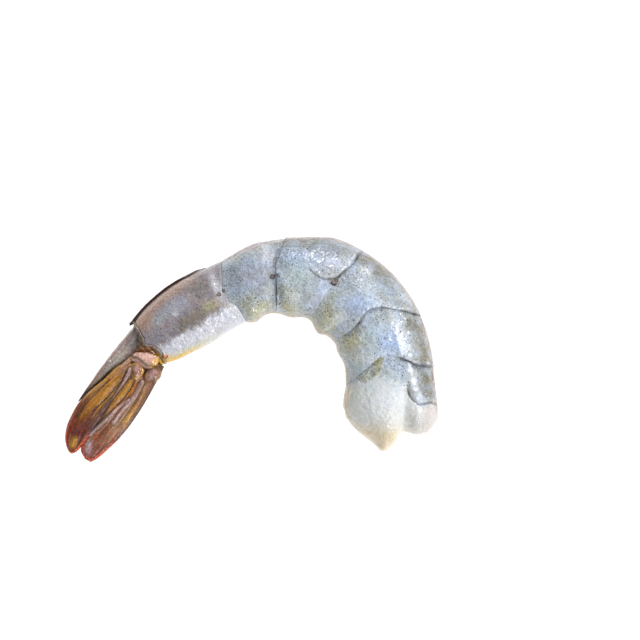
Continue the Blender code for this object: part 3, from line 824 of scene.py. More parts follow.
def blade_material():
    """Horny shell of the fan, streaked along its length, with grains of pigment."""
    kit = Finish("blade_shell")
    flow = kit.attribute("flow", "Vector")
    fine = kit.noise(0.3, 3.0, 0.6, (1, 14, 1), flow)
    broad = kit.noise(0.95, 2.0, 0.5, (1, 9, 1), flow)
    mauve = kit.noise(1.3, 2.0, 0.5, (1, 7, 2), flow)
    plain = kit.attribute("tint", "Color")
    tint = kit.mix(kit.span(mauve, 0.55, 0.72, 0.0, 0.25), plain, "vein_lilac")
    tint = kit.mix(kit.span(broad, 0.5, 0.68, 0.0, 0.5), tint, "vein_brown")
    tint = kit.shade(tint, fine, 0.34)
    tint = kit.mix(kit.span(fine, 0.42, 0.28, 0.0, 0.3), tint, "gold_light")
    speckle = kit.math(kit.attribute("speckle"), kit.span(kit.noise(0.0011), 0.3, 0.6, 0.3, 1.2))
    tint = kit.spots(tint, "vein_black", speckle, 0.00045, 0.34, 0.75)
    tint = kit.shade(tint, kit.noise(0.0004), 0.28)
    ribs = kit.bump(fine, 0.00016)
    normal = kit.bump(kit.noise(0.00045, 2.0), 0.00004, ribs)
    return kit.surface(
        tint,
        kit.span(broad, 0.3, 0.7, 0.24, 0.4),
        normal,
        coat_weight=0.5,
        coat_roughness=0.08,
        coat_ior=1.35,
        ior=1.33,
    )


class PRAWN_OT_flesh(bpy.types.Operator):
    """Model the peeled flesh, from under the shell's edge to the cut front end"""

    bl_idname = "prawn.flesh"
    bl_label = "Peeled flesh"

    AROUND = 280
    SEGMENT_ROWS = (46, 44, 46, 46, 30)
    BARE_ROWS = 14
    CAP_ROWS = 66
    TUCK = ((-1.6, POLE), (-1.6, 0.5), (-1.6, 0.9), (-1.2, 0.94), (-0.5, 0.955), (0.1, 0.965))
    FOLD_GAP = 0.02
    SHELL_GAP = 0.6

    def rows(self):
        """Each row of the grid: its two edges, share between them, shift along s and narrowing."""
        edges = [SHELL_EDGE, *FOLD_EDGES, SKIN_EDGE]
        rows = [(SHELL_EDGE, SHELL_EDGE, 0.0, shift, -narrow) for shift, narrow in self.TUCK]
        for number, (first, second) in enumerate(zip(edges, edges[1:])):
            for f in eased(np.linspace(0, 1, self.SEGMENT_ROWS[number]), 0.4):
                start = self.FOLD_GAP if number else self.SHELL_GAP
                inset = start * (1 - f) - (self.FOLD_GAP * f if number < len(FOLDS) else 0)
                rows.append((first, second, f, inset, 1.0))
        for f in np.linspace(0, FRONT_START, self.BARE_ROWS)[1:]:
            rows.append((SKIN_EDGE, FRONT_EDGE, f, 0.0, 1.0))
        for angle in np.linspace(0, math.pi / 2, self.CAP_ROWS)[1:]:
            q = math.sin(angle) ** (2 / FRONT_BLUNTNESS)
            narrow = math.cos(angle) ** (2 / FRONT_BLUNTNESS) if q < 1 else 0.0
            rows.append((SKIN_EDGE, FRONT_EDGE, FRONT_START + (1 - FRONT_START) * q, 0.0, narrow))
        return rows

    def execute(self, context):
        sizes = context.scene.prawn_sizes
        rows = self.rows()
        obj, angle, along = add_tube("flesh", self.AROUND, len(rows) - 1)
        t = rounded(np.sin(angle))
        index = np.rint(along * (len(rows) - 1)).astype(int)
        s = np.zeros(len(t))
        narrow = np.zeros(len(t))
        for number, (first, second, f, inset, slim) in enumerate(rows):
            here = index == number
            edge_t = t[here] * open_share(slim)
            s[here] = smooth(first, edge_t) * (1 - f) + smooth(second, edge_t) * f + inset
            narrow[here] = slim
        relief = flesh_relief(s, t) * open_share(narrow)
        points = section(s, angle, narrow, relief, lip_shift(s, t, sizes.lip_overhang / MM))
        shape(obj, points, *self.paint(s, t, points))
        lumps = ((sizes.lump_size, sizes.lump_height), (sizes.ripple_size, sizes.ripple_height))
        finish_piece(obj, flesh_material(), lumps, ["meat"])
        return {"FINISHED"}

    def paint(self, s, t, points):
        """The flesh's colour and how many pigment dots it has, from the belly's lobes to the front, with
        painted highlights on its lips and ridges.
        """
        tint = Paint(len(s), "flesh")
        broken = uneven(points[:, 0], points[:, 1], 1.6)
        tip = uneven(points[:, 1], points[:, 0], 3.5)
        speckle = lay_patches(tint, FLESH_PATCHES, s, t, tip, 0.5)
        half_height = smooth(BACK, s)

        tail_side, head_side = s - smooth(BAND_TAIL, t), smooth(BAND_HEAD, t) - s
        band = step(tail_side, -0.9, 0.9) * step(head_side, -0.5, 0.8)
        band = band * step(t, 0.12, 0.0) * step(t, -0.85, -0.6)
        # The band under the lobe is painted pale: its own pale skin, with painted highlight in it.
        tint.over(0.9 * band * (0.5 + 0.5 * broken), "pale_skin_and_highlight")
        tint.over(0.35 * band, "flesh_blue")
        speckle = speckle - 0.32 * band

        last = s - smooth(FOLD_EDGES[-1], t)
        olive = step(last, -0.1, 0.2) * step(s - smooth(OLIVE_END, t), 0.7, -0.5) * step(t, 0.0, -0.1)
        olive = olive * step(t, -0.85, -0.7)
        beyond = step(last, 0.4, 1.6) * step(t, 0.3, 0.1)
        tint.over(0.5 * beyond * step(t, -0.05, -0.3), "pale")
        speckle = speckle - 0.3 * beyond
        wedge = step(last, 0.0, 0.3) * step(last, 1.5, 0.9) * step(t, 0.34, 0.5)
        tint.over(0.8 * wedge, "dark_olive")
        speckle = speckle + 0.5 * wedge

        for edge, line in zip(FOLD_EDGES, FOLD_LINES):
            x = s - smooth(edge, t)
            width = smooth(line, t)
            seen = np.minimum(1, width / 0.13) * (0.65 + 0.45 * broken)
            tint.over(0.2 * seen * bump(x - 0.7, 0.6), "slate")
            speckle = speckle + 0.35 * seen * bump(x - 1.0, 1.0)
            # A painted highlight along the crest of each lip, broken.
            tint.over(0.85 * step(broken, 0.45, 0.7) * bump(x + 0.5, 0.22) * step(width, 0.0, 0.1), "pale_skin_and_highlight")
            tint.over(seen * bump(x, np.maximum(0.85 * width, 0.05)), "fold")
        above, sharp = above_hook(s, t)
        tint.over(0.9 * sharp * bump(above, 0.2) * (0.4 + 0.6 * broken), "fold")
        # A painted highlight on the lobe just above its dark end line.
        tint.over(0.6 * sharp * bump(above - 0.6, 0.4) * broken, "pale_skin_and_highlight")
        for pit_s, pit_t, half, _ in HINGES:
            away = np.hypot(s - pit_s, (t - pit_t) * half_height)
            tint.over(0.7 * bump(away, 1.2 * half[0]), "dark_olive")

        bare = step(s - smooth(SKIN_EDGE, t), -1.2, 1.6)
        tint.over(bare, "cream")
        tint.over(0.55 * bare * step(s, 82.0, 77.0) * tip, "teal")
        tint.over(0.45 * bare * step(uneven(0.5 * s, 5 * t, 1.5), 0.45, 0.75), "pale")
        # A painted highlight on the bare flesh near the cut front end.
        tint.over(0.5 * bump(s - 78.5, 3.0) * bump(t + 0.02, 0.28), "pale_skin_and_highlight")
        tint.over(0.85 * bare * step(s, 83.0, 88.5) * step(t, 0.45, 0.15), "tan")
        to_front = smooth(FRONT_EDGE, t) - s
        tint.over(0.45 * bare * step(to_front, 2.2, 0.4), "tan")
        tint.over(0.35 * bare * step(t, 0.3, 0.6), "flesh")
        tint.over(0.35 * bare * step(t, 0.3, 0.8), "shell_pink")
        tint.over(0.6 * bare * step(t, -0.7, -0.98), "tan")
        tint.over(0.7 * olive, "yellow_olive")
        tint.over(0.6 * olive * (0.3 + 0.7 * broken), "dark_olive")
        speckle = speckle * (1 - 0.97 * bare) + 0.9 * olive
        ridge = path_distance(RIDGE, s, t, half_height)
        # Painted sheen and highlight along the finger's ridge.
        tint.over(0.7 * bump(ridge, 0.75) * step(s, 70.8, 72.0) * (0.3 + 0.7 * broken), "pale_skin_and_highlight")
        tint.over(0.9 * bump(ridge, 0.5) * step(s, 71.0, 72.0) * step(broken, 0.5, 0.7), "painted_highlight")
        speckle = speckle * (1 - 0.7 * step(ridge, 1.2, 0.7))
        crease = path_distance(FINGER_CREASE, s, t, half_height)
        tint.over(0.6 * bump(crease - 0.45, 0.25) * step(s, 76.0, 77.0) * step(t, 0.5, 0.42), "cream")
        tint.over(0.95 * bump(crease, 0.2) * step(s, 76.0, 77.5) * (0.7 + 0.3 * broken), "fold")

        tint.over(0.9 * step(t, 0.88, 0.98) * step(s, 84.0, 80.0) * (0.6 + 0.4 * broken), "rim")
        tint.over(0.85 * step(t, -0.88, -0.98), "belly_rim")
        return tint, speckle


class PRAWN_OT_tail_segment(bpy.types.Operator):
    """Model the last segment, which keeps its shell, its keel and the keel's spine"""

    bl_idname = "prawn.tail_segment"
    bl_label = "Tail shell"

    AROUND = 280
    ROWS = 200
    REAR = ((0.6, POLE), (0.5, 0.45), (0.3, 0.8), (0.05, 0.93))
    INNER = (0.0, 0.15, 0.6, 1.4)

    def execute(self, context):
        wall = context.scene.prawn_sizes.shell_wall / MM
        rows = [(0.0, shift, -narrow, 0.0) for shift, narrow in self.REAR]
        rows += [(f, 0.12, 1.0, 0.0) for f in eased(np.linspace(0, 1, self.ROWS), 0.7)]
        rows += [(1.0, 0.12 - back, 1.0, -wall) for back in self.INNER]
        rows += [(1.0, -1.5, -narrow, -wall * narrow) for narrow in (0.6, POLE)]
        obj, angle, along = add_tube("tail_shell", self.AROUND, len(rows) - 1)
        t = rounded(np.sin(angle))
        f, shift, narrow, inset = np.array(rows)[np.rint(along * (len(rows) - 1)).astype(int)].T
        edge_t = t * open_share(narrow)
        s = smooth(TAIL_EDGE, edge_t) * (1 - f) + smooth(SHELL_EDGE, edge_t) * f + shift
        from_back = np.where(t > 0, smooth(HALF_WIDTH, s) * np.abs(np.cos(angle)), 99)
        keel = bump(from_back, KEEL_REACH) * step(s, KEEL_END, KEEL_END - KEEL_FADE)
        s = s - SPINE_LENGTH * bump(from_back, 0.4) * step(s, 1.2, 0.0) * (narrow > 0)
        rim = s - smooth(TAIL_EDGE, t)
        skin = (inset == 0) * (narrow > 0)
        raised = KEEL_HEIGHT * keel + 0.14 * bump(rim - 0.42, 0.16) - 0.12 * bump(rim - 0.8, 0.16)
        points = section(s, angle, narrow, raised * skin + inset)
        shape(obj, points, *self.paint(s, t, rim, from_back, points))
        lumps = ((4 * MM, 0.12 * MM), (0.9 * MM, 0.07 * MM))
        finish_piece(obj, shell_material("tail_shell", 0.22, 0.8), lumps, ["tail_segment"])
        return {"FINISHED"}

    def paint(self, s, t, rim, from_back, points):
        """The shell's colour and dots: pale below, pink along the back, with a dark keel, and painted
        highlights along its lower side and open edge.
        """
        tint = Paint(len(s), "shell")
        broken = uneven(points[:, 0], points[:, 1], 1.4)
        ragged = uneven(points[:, 1], points[:, 0], 3.0)
        tint.over(0.85 * step(t, 0.5, 0.9) * step(s, 21, 11), "shell_pink")
        speckle = 0.8 * step(t, -0.56, -0.4) * step(t, 1.0, 0.7) + 0.08
        speckle = lay_patches(tint, SHELL_PATCHES, s, t, ragged, speckle)
        # The lower side is painted pale: its own milky colour, lightened further as painted sheen.
        low = step(t - 0.12 * (ragged - 0.5), -0.28, -0.54)
        tint.over(0.95 * low * (0.75 + 0.25 * broken), "shell_pale")
        # A painted highlight strip along the shell's lower side, broken.
        highlight_strip = bump(t + 0.49 - 0.06 * ragged, 0.07) * step(s, 2.0, 4.0)
        tint.over(0.8 * highlight_strip * step(broken, 0.3, 0.6), "pale_skin_and_highlight")
        tint.over(0.8 * step(t, -0.72, -0.9) * step(s, 20, 6), "yellow_olive")
        tint.over(0.95 * step(t, -0.84, -0.95) * step(s, 13, 3), "yellow")
        tint.over(0.9 * step(s, 4.0, 0.5) * step(t, -0.6, -0.9), "yellow")
        tint.over(0.6 * step(from_back, 3.2, 2.2) * step(s, KEEL_END, KEEL_END - 6), "shell_pink")
        tint.over(0.6 * step(from_back, 2.8, 1.8) * step(s, KEEL_END, KEEL_END - 3), "rim")
        reach = 1.6 * step(s, KEEL_END + 0.6, KEEL_END - 7)
        tint.over(step(from_back, reach + 0.3, reach - 0.2), "keel")
        tint.over(0.9 * bump(rim - 0.42, 0.2), "vein_olive")
        tint.over(0.9 * (bump(rim - 0.08, 0.14) + bump(rim - 0.8, 0.12)), "keel")
        edge = s - smooth(SHELL_EDGE, t)
        # The shell's open edge painted pale, strongest below: partly the thin edge's own colour, partly
        # painted sheen.
        tint.over((0.2 + 0.8 * step(t, -0.25, -0.5)) * step(edge, -0.4, -0.15), "pale_skin_and_highlight")
        return tint, speckle


class PRAWN_OT_keel(bpy.types.Operator):
    """Model the dull dark crest along the back of the tail shell, down to its spine"""

    bl_idname = "prawn.keel"
    bl_label = "Keel"

    GRID = (64, 200)
    HALF = 1.3
    FOOT = 0.4
    LIFT = 0.06
    POINT = 1.6
    FADE = 7.0

    def execute(self, context):
        obj, across, along = add_grid("tail_keel", *self.GRID)
        start = TAIL_EDGE[-1][1] - SPINE_LENGTH
        s = start + (KEEL_END - start) * along
        turn = 2 * math.pi * across
        taper = np.sqrt(np.clip(np.minimum((s - start) / self.POINT, (KEEL_END - s) / self.FADE), 0, 1))
        from_back = self.HALF * taper * np.cos(turn)
        angle = np.arccos(from_back / smooth(HALF_WIDTH, s))
        around = np.abs(np.sin(turn))
        crest = self.LIFT * np.sqrt(around) + KEEL_HEIGHT * bump(from_back, KEEL_REACH)
        relief = np.where(np.sin(turn) > 0, crest, -self.FOOT * around) * taper
        points = section(s, angle, 1.0, relief)
        tint = Paint(len(s), "keel")
        tint.over(0.5 * uneven(s, 3 * from_back, 2.2), "vein_brown")
        shape(obj, points, tint, np.zeros(len(s)))
        kit = Finish("keel_shell")
        grain = kit.noise(0.0005, 3.0, 0.65)
        colour = kit.shade(kit.attribute("tint", "Color"), grain, 0.3)
        material = kit.surface(colour, 0.5, kit.bump(grain, 0.00004), ior=1.2)
        finish_piece(obj, material, ((0.9 * MM, 0.06 * MM),), within=["tail_segment"])
        return {"FINISHED"}


class PRAWN_OT_telson(bpy.types.Operator):
    """Model the pointed middle blade of the tail fan"""

    bl_idname = "prawn.telson"
    bl_label = "Telson"

    GRID = (96, 160)
    ROUND_END = 0.8
    ROOT_TUCK = 2.3

    def execute(self, context):
        obj, angle, along = add_tube("dressed_telson", *self.GRID)
        start, end = TELSON[0][0] - self.ROOT_TUCK, TELSON[-1][0]
        a = start + (end - start) * along
        low, high = each_at(TELSON, a)
        opening = np.clip((a - start) / self.ROUND_END, 0, 1)
        closing = np.sqrt(opening * (2 - opening)) * np.sqrt(np.clip((end - a) / 0.6, 0, 1))
        sine, cosine = np.sin(angle), np.cos(angle)
        half = smooth(TELSON_HALF_WIDTH, a)
        groove = 0.22 * bump(sine - 0.35, 0.22) - 0.12 * bump(sine - 0.75, 0.12)
        v = (low + high) / 2 + (high - low) / 2 * rounded(sine) * closing
        z = half * (rounded(cosine) - groove * np.sign(cosine) * np.abs(cosine)) * closing
        shear = TELSON_SHEAR * np.maximum(0, 1 - np.maximum(a, 0) / TELSON_SHEAR_END)
        points = fan_place(a - shear * (v - TELSON_ROOT_MIDDLE), v, z)
        broken = uneven(a, 2 * v, 2.2)
        tint = Paint(len(a), "shell")
        tint.over(0.7 * step(a, 10.0, 3.0), "lilac")
        tint.over(0.25 + 0.5 * step(a, 8, 14), "shell_pink")
        tint.over(0.4 * bump(a - 5.5, 3.2) * bump(sine - 0.05, 0.4) * (0.5 + 0.5 * broken), "yellow_olive")
        # A painted highlight along the telson's middle.
        tint.over(0.5 * bump(a - 9.5, 3.5) * bump(sine - 0.1, 0.3), "pale")
        tint.over(0.7 * step(sine, -0.2, -0.6) * step(a, 6, 11), "dark_olive")
        tint.over(0.22 + 0.3 * step(sine, 0.3, 0.8), "rim")
        tint.over(0.7 * step(sine, 0.78, 0.86), "shell_pink")
        tint.over(0.95 * step(sine, 0.9, 0.97), "crimson")
        above_blade = v - each_at(INNER_BLADE, a)[1]
        tint.over(0.5 * step(above_blade, 1.4, 0.6) * step(a, 6, 9), "vein_olive")
        # A painted shadow: a dark line on the telson where the inner blade's edge overlies it.
        tint.over(0.95 * step(above_blade, 0.75, 0.4) * step(a, 8, 11), "vein_black")
        tint.over(0.6 * step(a, 17.0, 20.0), "blade_brown")
        shape(obj, points, tint, 0.8 * step(a, 18, 12) + 0.15)
        material = shell_material("telson_shell", 0.24, 0.7)
        lumps = ((1.8 * MM, 0.14 * MM),)
        finish_piece(obj, material, lumps, ["telson"], ["telson", "tail_segment"])
        return {"FINISHED"}


def make_blade(node, side, material, outline, rise, veins, paint):
    """A thin arched leaf of the fan, with its ribs and grooves, closed all round its rim."""
    obj, across, along = add_grid("dressed_" + node, *BLADE_GRID)
    outer = across <= 0.5
    g = np.where(outer, 2 * across, 2 - 2 * across)
    f = eased(along, 0.2)
    start, end = outline[0][0], outline[-1][0]
    a = start + (end - start) * f
    low, high = each_at(outline, a)
    g = eased(g, 0.75)
    v = low + (high - low) * g
    to_rim = np.minimum.reduce([v - low, high - v, a - start, end - a])
    swell = (1 - ROOT_RISE_SHARE) * np.sin(math.pi * np.minimum(1, RISE_START + f))
    middle = rise * (ROOT_RISE_SHARE + swell) - BLADE_ARCH * v * v
    inside = np.clip(to_rim / BLADE_RIM, 0, 1)
    half = BLADE_THICKNESS / 2 * np.sqrt(1 - (1 - inside) ** 2)
    relief = np.zeros(len(a))
    for path, reach, height, _ in veins:
        relief = relief + height * bump(path_distance(path, a, v), reach)
    fringe = 0.06 * np.sin(np.arctan2(v - 1, a - 24) * 90) * step(to_rim, 0.9, 0.3) * step(a, 20, 26)
    z = middle + np.where(outer, half + relief + fringe, -half)
    z = np.where(inside > 0, z, middle)
    tint, speckle = paint(a, v, to_rim, low, high)
    widest = outline[len(outline) // 2]
    flow = (g * (widest[2] - widest[1]), a, np.where(outer, 0.0, FACES_APART))
    shape(obj, fan_place(a, v, side * z), tint, speckle, flow)
    finish_piece(obj, material, nodes=[node])


def beads(a, v):
    """Light and dark beads along the fringe, from 0 to 1."""
    return step(uneven(a, v, 0.45), 0.35, 0.6)


def paint_veins(tint, a, v, veins):
    """Each ridge with a thin dark line on both sides of it, and each groove."""
    blotches = 0.5 + 0.5 * uneven(a, v, 0.8)
    for path, reach, height, colour in veins:
        away = path_distance(path, a, v)
        if height > 0.15:
            tint.over(0.75 * bump(away - 1.5 * reach, 0.16), "vein_brown")
        tint.over(blotches * bump(away, reach * 0.85), colour)


def paint_inner(a, v, to_rim, low, high):
    """An inner blade: golden from its root, brown and then crimson with a beaded fringe."""
    tint = Paint(len(a), "blade_tan")
    tint.over(0.9 * step(a, 8, 13) * step(v - low, 0.6, 1.8), "blade_gold")
    tint.over(0.6 * step(high - v, 1.6, 0.8) * step(a, 10, 15), "blade_tan")
    tint.over(0.9 * step(a + 0.8 * v, 20, 26), "blade_brown")
    mottled = uneven(a, v, 1.3)
    tint.over(0.95 * step(a, 23, 27) * (0.5 + 0.5 * mottled), "crimson")
    tint.over(0.5 * step(a, 22, 25) * step(mottled, 0.4, 0.2), "vein_orange")
    paint_veins(tint, a, v, INNER_VEINS)
    tint.over(0.9 * bump(path_distance([(28.7, 3.1), (29.9, 2.7)], a, v), 0.8), "gold_light")
    tint.over(0.9 * step(to_rim, 1.0, 0.5) * step(a, 25, 28), "crimson")
    tint.over(0.9 * bump(high - v - 0.3, 0.2) * step(a, 22, 16), "gold_light")
    rim = step(to_rim, 0.8, 0.2) * np.maximum(step(a, 24, 27), 0.7 * step(v - low, 1.5, 3.0))
    tint.over(rim * step(a, 17, 22) * (0.35 + 0.65 * beads(a, v)), "salmon")
    # A painted shadow: a black line along the blade's lower edge.
    tint.over(0.9 * step(to_rim, 0.45, 0.1) * step(v - low, 1.0, 0.3) * step(a, 27, 24), "vein_black")
    return tint, 0.3 + 0.4 * step(a, 12, 26)


def paint_outer(a, v, to_rim, low, _):
    """An outer blade: mauve and tan at its root, with a brown middle and a beaded crimson end."""
    tint = Paint(len(a), "blade_tan")
    tint.over(0.6 * step(a, 10.0, 7.0), "mauve")
    tint.over(0.6 * step(a, 7.0, 4.0) * step(v, -3.5, -5.0), "vein_olive")
    tint.over(0.7 * step(v, -3.4, -2.6) * step(a, 8, 11) * step(a, 20, 16), "blade_gold")
    tint.over(0.9 * bump(np.hypot(a - 23.8, 1.6 * (v + 1.8)), 2.8), "blade_brown")
    mottled = uneven(a, v, 1.3)
    tint.over(0.9 * step(a, 24, 28) * (0.5 + 0.5 * mottled), "crimson")
    tint.over(0.5 * step(a, 21, 24) * step(mottled, 0.45, 0.25), "vein_orange")
    tint.over(0.8 * step(v - low, 1.4, 0.6) * step(a, 18, 24), "crimson")
    tint.over(0.6 * step(v - low, 1.3, 0.5) * step(a, 22, 17), "vein_brown")
    paint_veins(tint, a, v, OUTER_VEINS)
    tint.over(0.85 * bump(path_distance([(27.6, -0.2), (29.2, -1.0)], a, v), 0.8), "vein_lilac")
    tint.over(0.9 * step(to_rim, 0.75, 0.35) * step(a, 23, 26), "crimson")
    tint.over(step(to_rim, 0.9, 0.3) * step(a, 23, 26) * (0.2 + 0.8 * beads(a, v)), "salmon")
    tint.over(0.9 * step(to_rim, 0.4, 0.1) * step(a, 25, 22) * step(a, 7, 10), "vein_black")
    return tint, 0.3 + 0.3 * step(a, 12, 26)


class PRAWN_OT_blades(bpy.types.Operator):
    """Model the four side blades of the tail fan"""

    bl_idname = "prawn.blades"
    bl_label = "Fan blades"

    def execute(self, context):
        material = blade_material()
        for side, word in SIDES:
            inner = (INNER_BLADE, INNER_RISE, INNER_VEINS, paint_inner)
            make_blade("inner_blade_" + word, side, material, *inner)
            outer = (OUTER_BLADE, OUTER_RISE, OUTER_VEINS, paint_outer)
            make_blade("outer_blade_" + word, side, material, *outer)
        return {"FINISHED"}


class PRAWN_OT_joint_skin(bpy.types.Operator):
    """Model the soft folded skin that joins the last segment to the tail fan"""

    bl_idname = "prawn.joint_skin"
    bl_label = "Joint skin"

    GRID = (160, 90)
    FRONT = 1.4
    LENGTH = 5.0
    BACK_SLIM = 0.42
    SCALE = [(0.0, POLE), (0.1, 0.86), (0.3, 0.95), (0.45, 0.88), (0.7, 0.64), (0.9, 0.4), (1.0, POLE)]

    def execute(self, context):
        obj, angle, along = add_tube("joint_skin", *self.GRID)
        t = rounded(np.sin(angle))
        s = self.FRONT - self.LENGTH * along + smooth(TAIL_EDGE, t)
        folds = 0.16 * np.sin(5.5 * s + 1.5 * t) * step(along, 0.1, 0.3) * step(along, 1.0, 0.8)
        slim = 1 - self.BACK_SLIM * step(t, -0.1, 0.35)
        points = section(s, angle, -smooth(self.SCALE, along) * slim, folds)
        tint = Paint(len(s), "amber")
        tint.over(0.8 * step(t, 0.1, 0.5), "olive")
        tint.over(0.9 * step(t, -0.45, -0.8), "yellow")
        # Painted shade in the troughs of the skin's folds.
        tint.over(0.6 * step(folds, 0.0, -0.12), "keel")
        shape(obj, points, tint, np.full(len(s), 0.1))
        material = shell_material("joint_skin", 0.16, 0.3)
        lumps = ((0.9 * MM, 0.2 * MM),)
        finish_piece(obj, material, lumps, within=["tail_segment", "telson"])
        return {"FINISHED"}


def make_knob(name, grid, half, turn, put, shades, ring_width, material):
    """A low dome with a groove round it. Put turns its own x, y and z into places, all in millimetres.

    Shades are the colours of the crown, of the ring round it, of its upper side and of its lower side.
    """
    obj, across, along = add_grid(name, *grid)
    longitude, latitude = 2 * math.pi * across, math.pi * (along - 0.5)
    out = np.cos(latitude)
    groove = 1 - 0.14 * bump(out - 0.85, 0.09) + 0.07 * np.sin(3 * longitude + turn) * out
    x = half[0] * out * groove * np.cos(longitude)
    y = half[1] * out * groove * np.sin(longitude)
    z = half[2] * np.sin(latitude) * groove
    turned = math.radians(turn)
    crown, ring, upper, lower = shades
    tint = Paint(len(x), crown)
    tint.over(0.75 * step(y / half[1], 0.05, 0.45) * step(out, 0.2, 0.6), upper)
    tint.over(0.75 * step(y / half[1], -0.2, -0.6) * step(out, 0.3, 0.7), lower)
    tint.over(0.7 * step(uneven(x, y, 0.8 * half[1]), 0.45, 0.8), lower)
    tint.over(0.9 * bump(out - 0.95, ring_width), ring)
    x, y = x * math.cos(turned) - y * math.sin(turned), x * math.sin(turned) + y * math.cos(turned)
    shape(obj, put(x, y, z), tint, np.full(len(x), 0.25))
    finish_piece(obj, material, ((0.8 * MM, 0.16 * half[2] * MM),))


class PRAWN_OT_knobs(bpy.types.Operator):
    """Model the small ringed knobs where the blades turn"""

    bl_idname = "prawn.knobs"
    bl_label = "Fan knobs"

    GRID = (64, 40)
    RING_WIDTH = 0.15

    def execute(self, context):
        material = shell_material("knob_shell", 0.16, 0.4)
        for name, (a, v, out), half, turn, shades in KNOBS:
            for side, word in SIDES:

                def put(x, y, z):
                    return fan_place(a + x, v + y, side * (out + z))

                make_knob(f"{name}_{word}", self.GRID, half, turn, put, shades, self.RING_WIDTH, material)
        return {"FINISHED"}


class PRAWN_OT_hinges(bpy.types.Operator):
    """Model the small ringed pits on the upper side where the segments hinge on each other"""

    bl_idname = "prawn.hinges"
    bl_label = "Hinge pits"

    GRID = (32, 20)
    RING_WIDTH = 0.3
    SHADES = ("shell", "keel", "mauve", "keel")

    def execute(self, context):
        material = shell_material("hinge_shell", 0.2, 0.2)
        for number, (s, t, half, turn) in enumerate(HINGES, 1):
            row = np.array([s])
            relief = flesh_relief(row, np.array([t])) if s > SHELL_EDGE[3][1] else 0.0
            middle = section(row, math.asin(t ** (1 / SQUARENESS)), 1.0, relief)[0]

            def put(x, y, z):
                return middle + np.stack([x, y, z], -1)

            make_knob(f"hinge_{number}", self.GRID, half, turn, put, self.SHADES, self.RING_WIDTH, material)
        return {"FINISHED"}


class PRAWN_OT_knuckles(bpy.types.Operator):
    """Model the joint pieces between the last segment and the blades"""

    bl_idname = "prawn.knuckles"
    bl_label = "Fan knuckles"

    GRID = (120, 80)
    CREASE = [(4.9, 1.6), (4.4, 0.4), (4.6, -1.0), (4.8, -2.6), (4.0, -4.4)]

    def execute(self, context):
        material = shell_material("knuckle_shell", 0.2, 0.3)
        for side, word in SIDES:
            obj, angle, along = add_tube("knuckle_" + word, *self.GRID)
            start, end = FAN_BASE[0][0], FAN_BASE[-1][0]
            f = eased(along, 0.0)
            a = start + (end - start) * f
            low, high, inner, outer = each_at(FAN_BASE, a)
            closing = np.sqrt(np.clip(1 - np.abs(2 * f - 1) ** 6, 0, 1))
            sine, cosine = (np.sign(wave) * np.abs(wave) ** 0.7 for wave in (np.sin(angle), np.cos(angle)))
            v = (low + high) / 2 + (high - low) / 2 * sine * closing
            crease = path_distance(self.CREASE, a, v)
            shelf = 0.5 * step(a + 0.1 * v, 4.4, 5.0) + 0.45 * bump(crease, 0.3)
            z = (inner + outer) / 2 + (outer - inner) / 2 * cosine * closing - shelf * np.maximum(0, cosine)
            broken = uneven(a * 2, v * 2, 1.4)
            tint = Paint(len(a), "pink")
            tint.over(0.5 * broken * step(v, -0.9, 0.6), "mauve")
            tint.over(0.45 * step(broken, 0.5, 0.8), "amber")
            tint.over(0.7 * step(a + 0.1 * v, 4.4, 4.9), "mauve")
            tint.over(0.7 * step(v, -2.8, -3.8), "yellow")
            tint.over(0.9 * bump(crease, 0.26), "dark_olive")
            tint.over(0.85 * step(closing, 0.9, 0.7), "keel")
            tint.over(0.8 * step(np.abs(sine), 0.86, 0.98), "amber")
            shape(obj, fan_place(a, v, side * z), tint, np.full(len(a), 0.2))
            finish_piece(obj, material, ((0.9 * MM, 0.3 * MM),), ["fan_base_" + word])
        return {"FINISHED"}


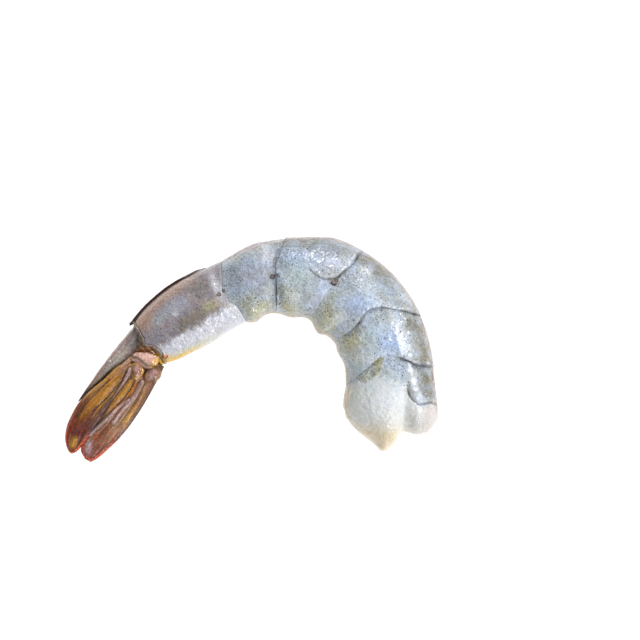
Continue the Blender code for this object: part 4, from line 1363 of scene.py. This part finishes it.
class PRAWN_OT_stage(bpy.types.Operator):
    """Set the pale table, the soft lights and the camera"""

    bl_idname = "prawn.stage"
    bl_label = "Table, lights and camera"

    CENTRE = (0.01611, 0.00705)
    MIDDLE_Z = 0.0089
    FRAME_WIDTH = 0.1504
    LENS = 200
    SENSOR = 36
    WORLD_STRENGTH = 0.34
    # Each soft light's name, place, width, length and power.
    LIGHTS = (
        ("softbox_right", (0.38, 0.06, 0.34), 0.14, 0.05, 1.7),
        ("softbox_back", (0.04, 0.4, 0.28), 0.14, 0.05, 1.3),
        ("softbox_front", (0.22, -0.38, 0.27), 0.16, 0.05, 1.3),
        ("softbox_left", (-0.5, 0.2, 0.5), 0.5, 0.5, 0.5),
    )

    def execute(self, context):
        bpy.ops.object.select_all(action="DESELECT")
        bpy.ops.mesh.primitive_plane_add(size=4, location=(0, 0, -0.0001))
        floor = context.active_object
        floor.name = "table"
        kit = Finish("table_white")
        cloud = kit.noise(0.3)
        kit.surface(
            kit.mix(cloud, (0.33, 0.33, 0.33), (0.35, 0.35, 0.35)),
            0.6,
            kit.bump(kit.noise(0.002), 0.00001),
            emission_color=(1, 1, 1, 1),
            emission_strength=0.9,
        )
        floor.data.materials.append(kit.material)
        world = bpy.data.worlds.new("studio")
        world.use_nodes = True
        background = world.node_tree.nodes["Background"].inputs
        background["Color"].default_value = (1, 1, 1, 1)
        background["Strength"].default_value = self.WORLD_STRENGTH
        context.scene.world = world
        for settings in self.LIGHTS:
            self.add_light(*settings)
        distance = self.FRAME_WIDTH * self.LENS / self.SENSOR
        bpy.ops.object.camera_add(location=(*self.CENTRE, self.MIDDLE_Z + distance), rotation=(0, 0, 0))
        camera = context.active_object
        camera.data.lens = self.LENS
        camera.data.sensor_width = self.SENSOR
        camera.data.clip_start = 0.01
        context.scene.camera = camera
        context.scene.view_settings.view_transform = "Standard"
        return {"FINISHED"}

    def add_light(self, name, place, width, length, power):
        """A rectangular soft light that faces the prawn, with its width level."""
        towards = Vector(place).to_track_quat("Z", "Y")
        bpy.ops.object.light_add(type="AREA", location=place, rotation=towards.to_euler())
        lamp = bpy.context.active_object
        lamp.name = name
        lamp.data.shape = "RECTANGLE"
        lamp.data.size = width
        lamp.data.size_y = length
        lamp.data.energy = power


class PRAWN_PT_panel(bpy.types.Panel):
    """Lists the steps that build the prawn"""

    bl_idname = "PRAWN_PT_panel"
    bl_label = "Raw prawn"
    bl_space_type = "VIEW_3D"
    bl_region_type = "UI"
    bl_category = "Prawn"

    def draw(self, context):
        for operator in OPERATORS:
            self.layout.operator(operator.bl_idname)
        for group in (context.scene.prawn_sizes, context.scene.prawn_colours):
            box = self.layout.box()
            for name in group.__annotations__:
                box.prop(group, name)


OPERATORS = (
    PRAWN_OT_flesh,
    PRAWN_OT_tail_segment,
    PRAWN_OT_keel,
    PRAWN_OT_telson,
    PRAWN_OT_blades,
    PRAWN_OT_knuckles,
    PRAWN_OT_joint_skin,
    PRAWN_OT_knobs,
    PRAWN_OT_hinges,
    PRAWN_OT_stage,
)
CLASSES = (PrawnSizes, PrawnColours, *OPERATORS, PRAWN_PT_panel)


def register():
    for made in CLASSES:
        bpy.utils.register_class(made)
    bpy.types.Scene.prawn_sizes = PointerProperty(type=PrawnSizes)
    bpy.types.Scene.prawn_colours = PointerProperty(type=PrawnColours)


def unregister():
    del bpy.types.Scene.prawn_colours
    del bpy.types.Scene.prawn_sizes
    for made in reversed(CLASSES):
        bpy.utils.unregister_class(made)


def main():
    register()
    bpy.ops.prawn.flesh()
    bpy.ops.prawn.tail_segment()
    bpy.ops.prawn.keel()
    bpy.ops.prawn.telson()
    bpy.ops.prawn.blades()
    bpy.ops.prawn.knuckles()
    bpy.ops.prawn.joint_skin()
    bpy.ops.prawn.knobs()
    bpy.ops.prawn.hinges()
    bpy.ops.prawn.stage()


if __name__ == "__main__":
    main()
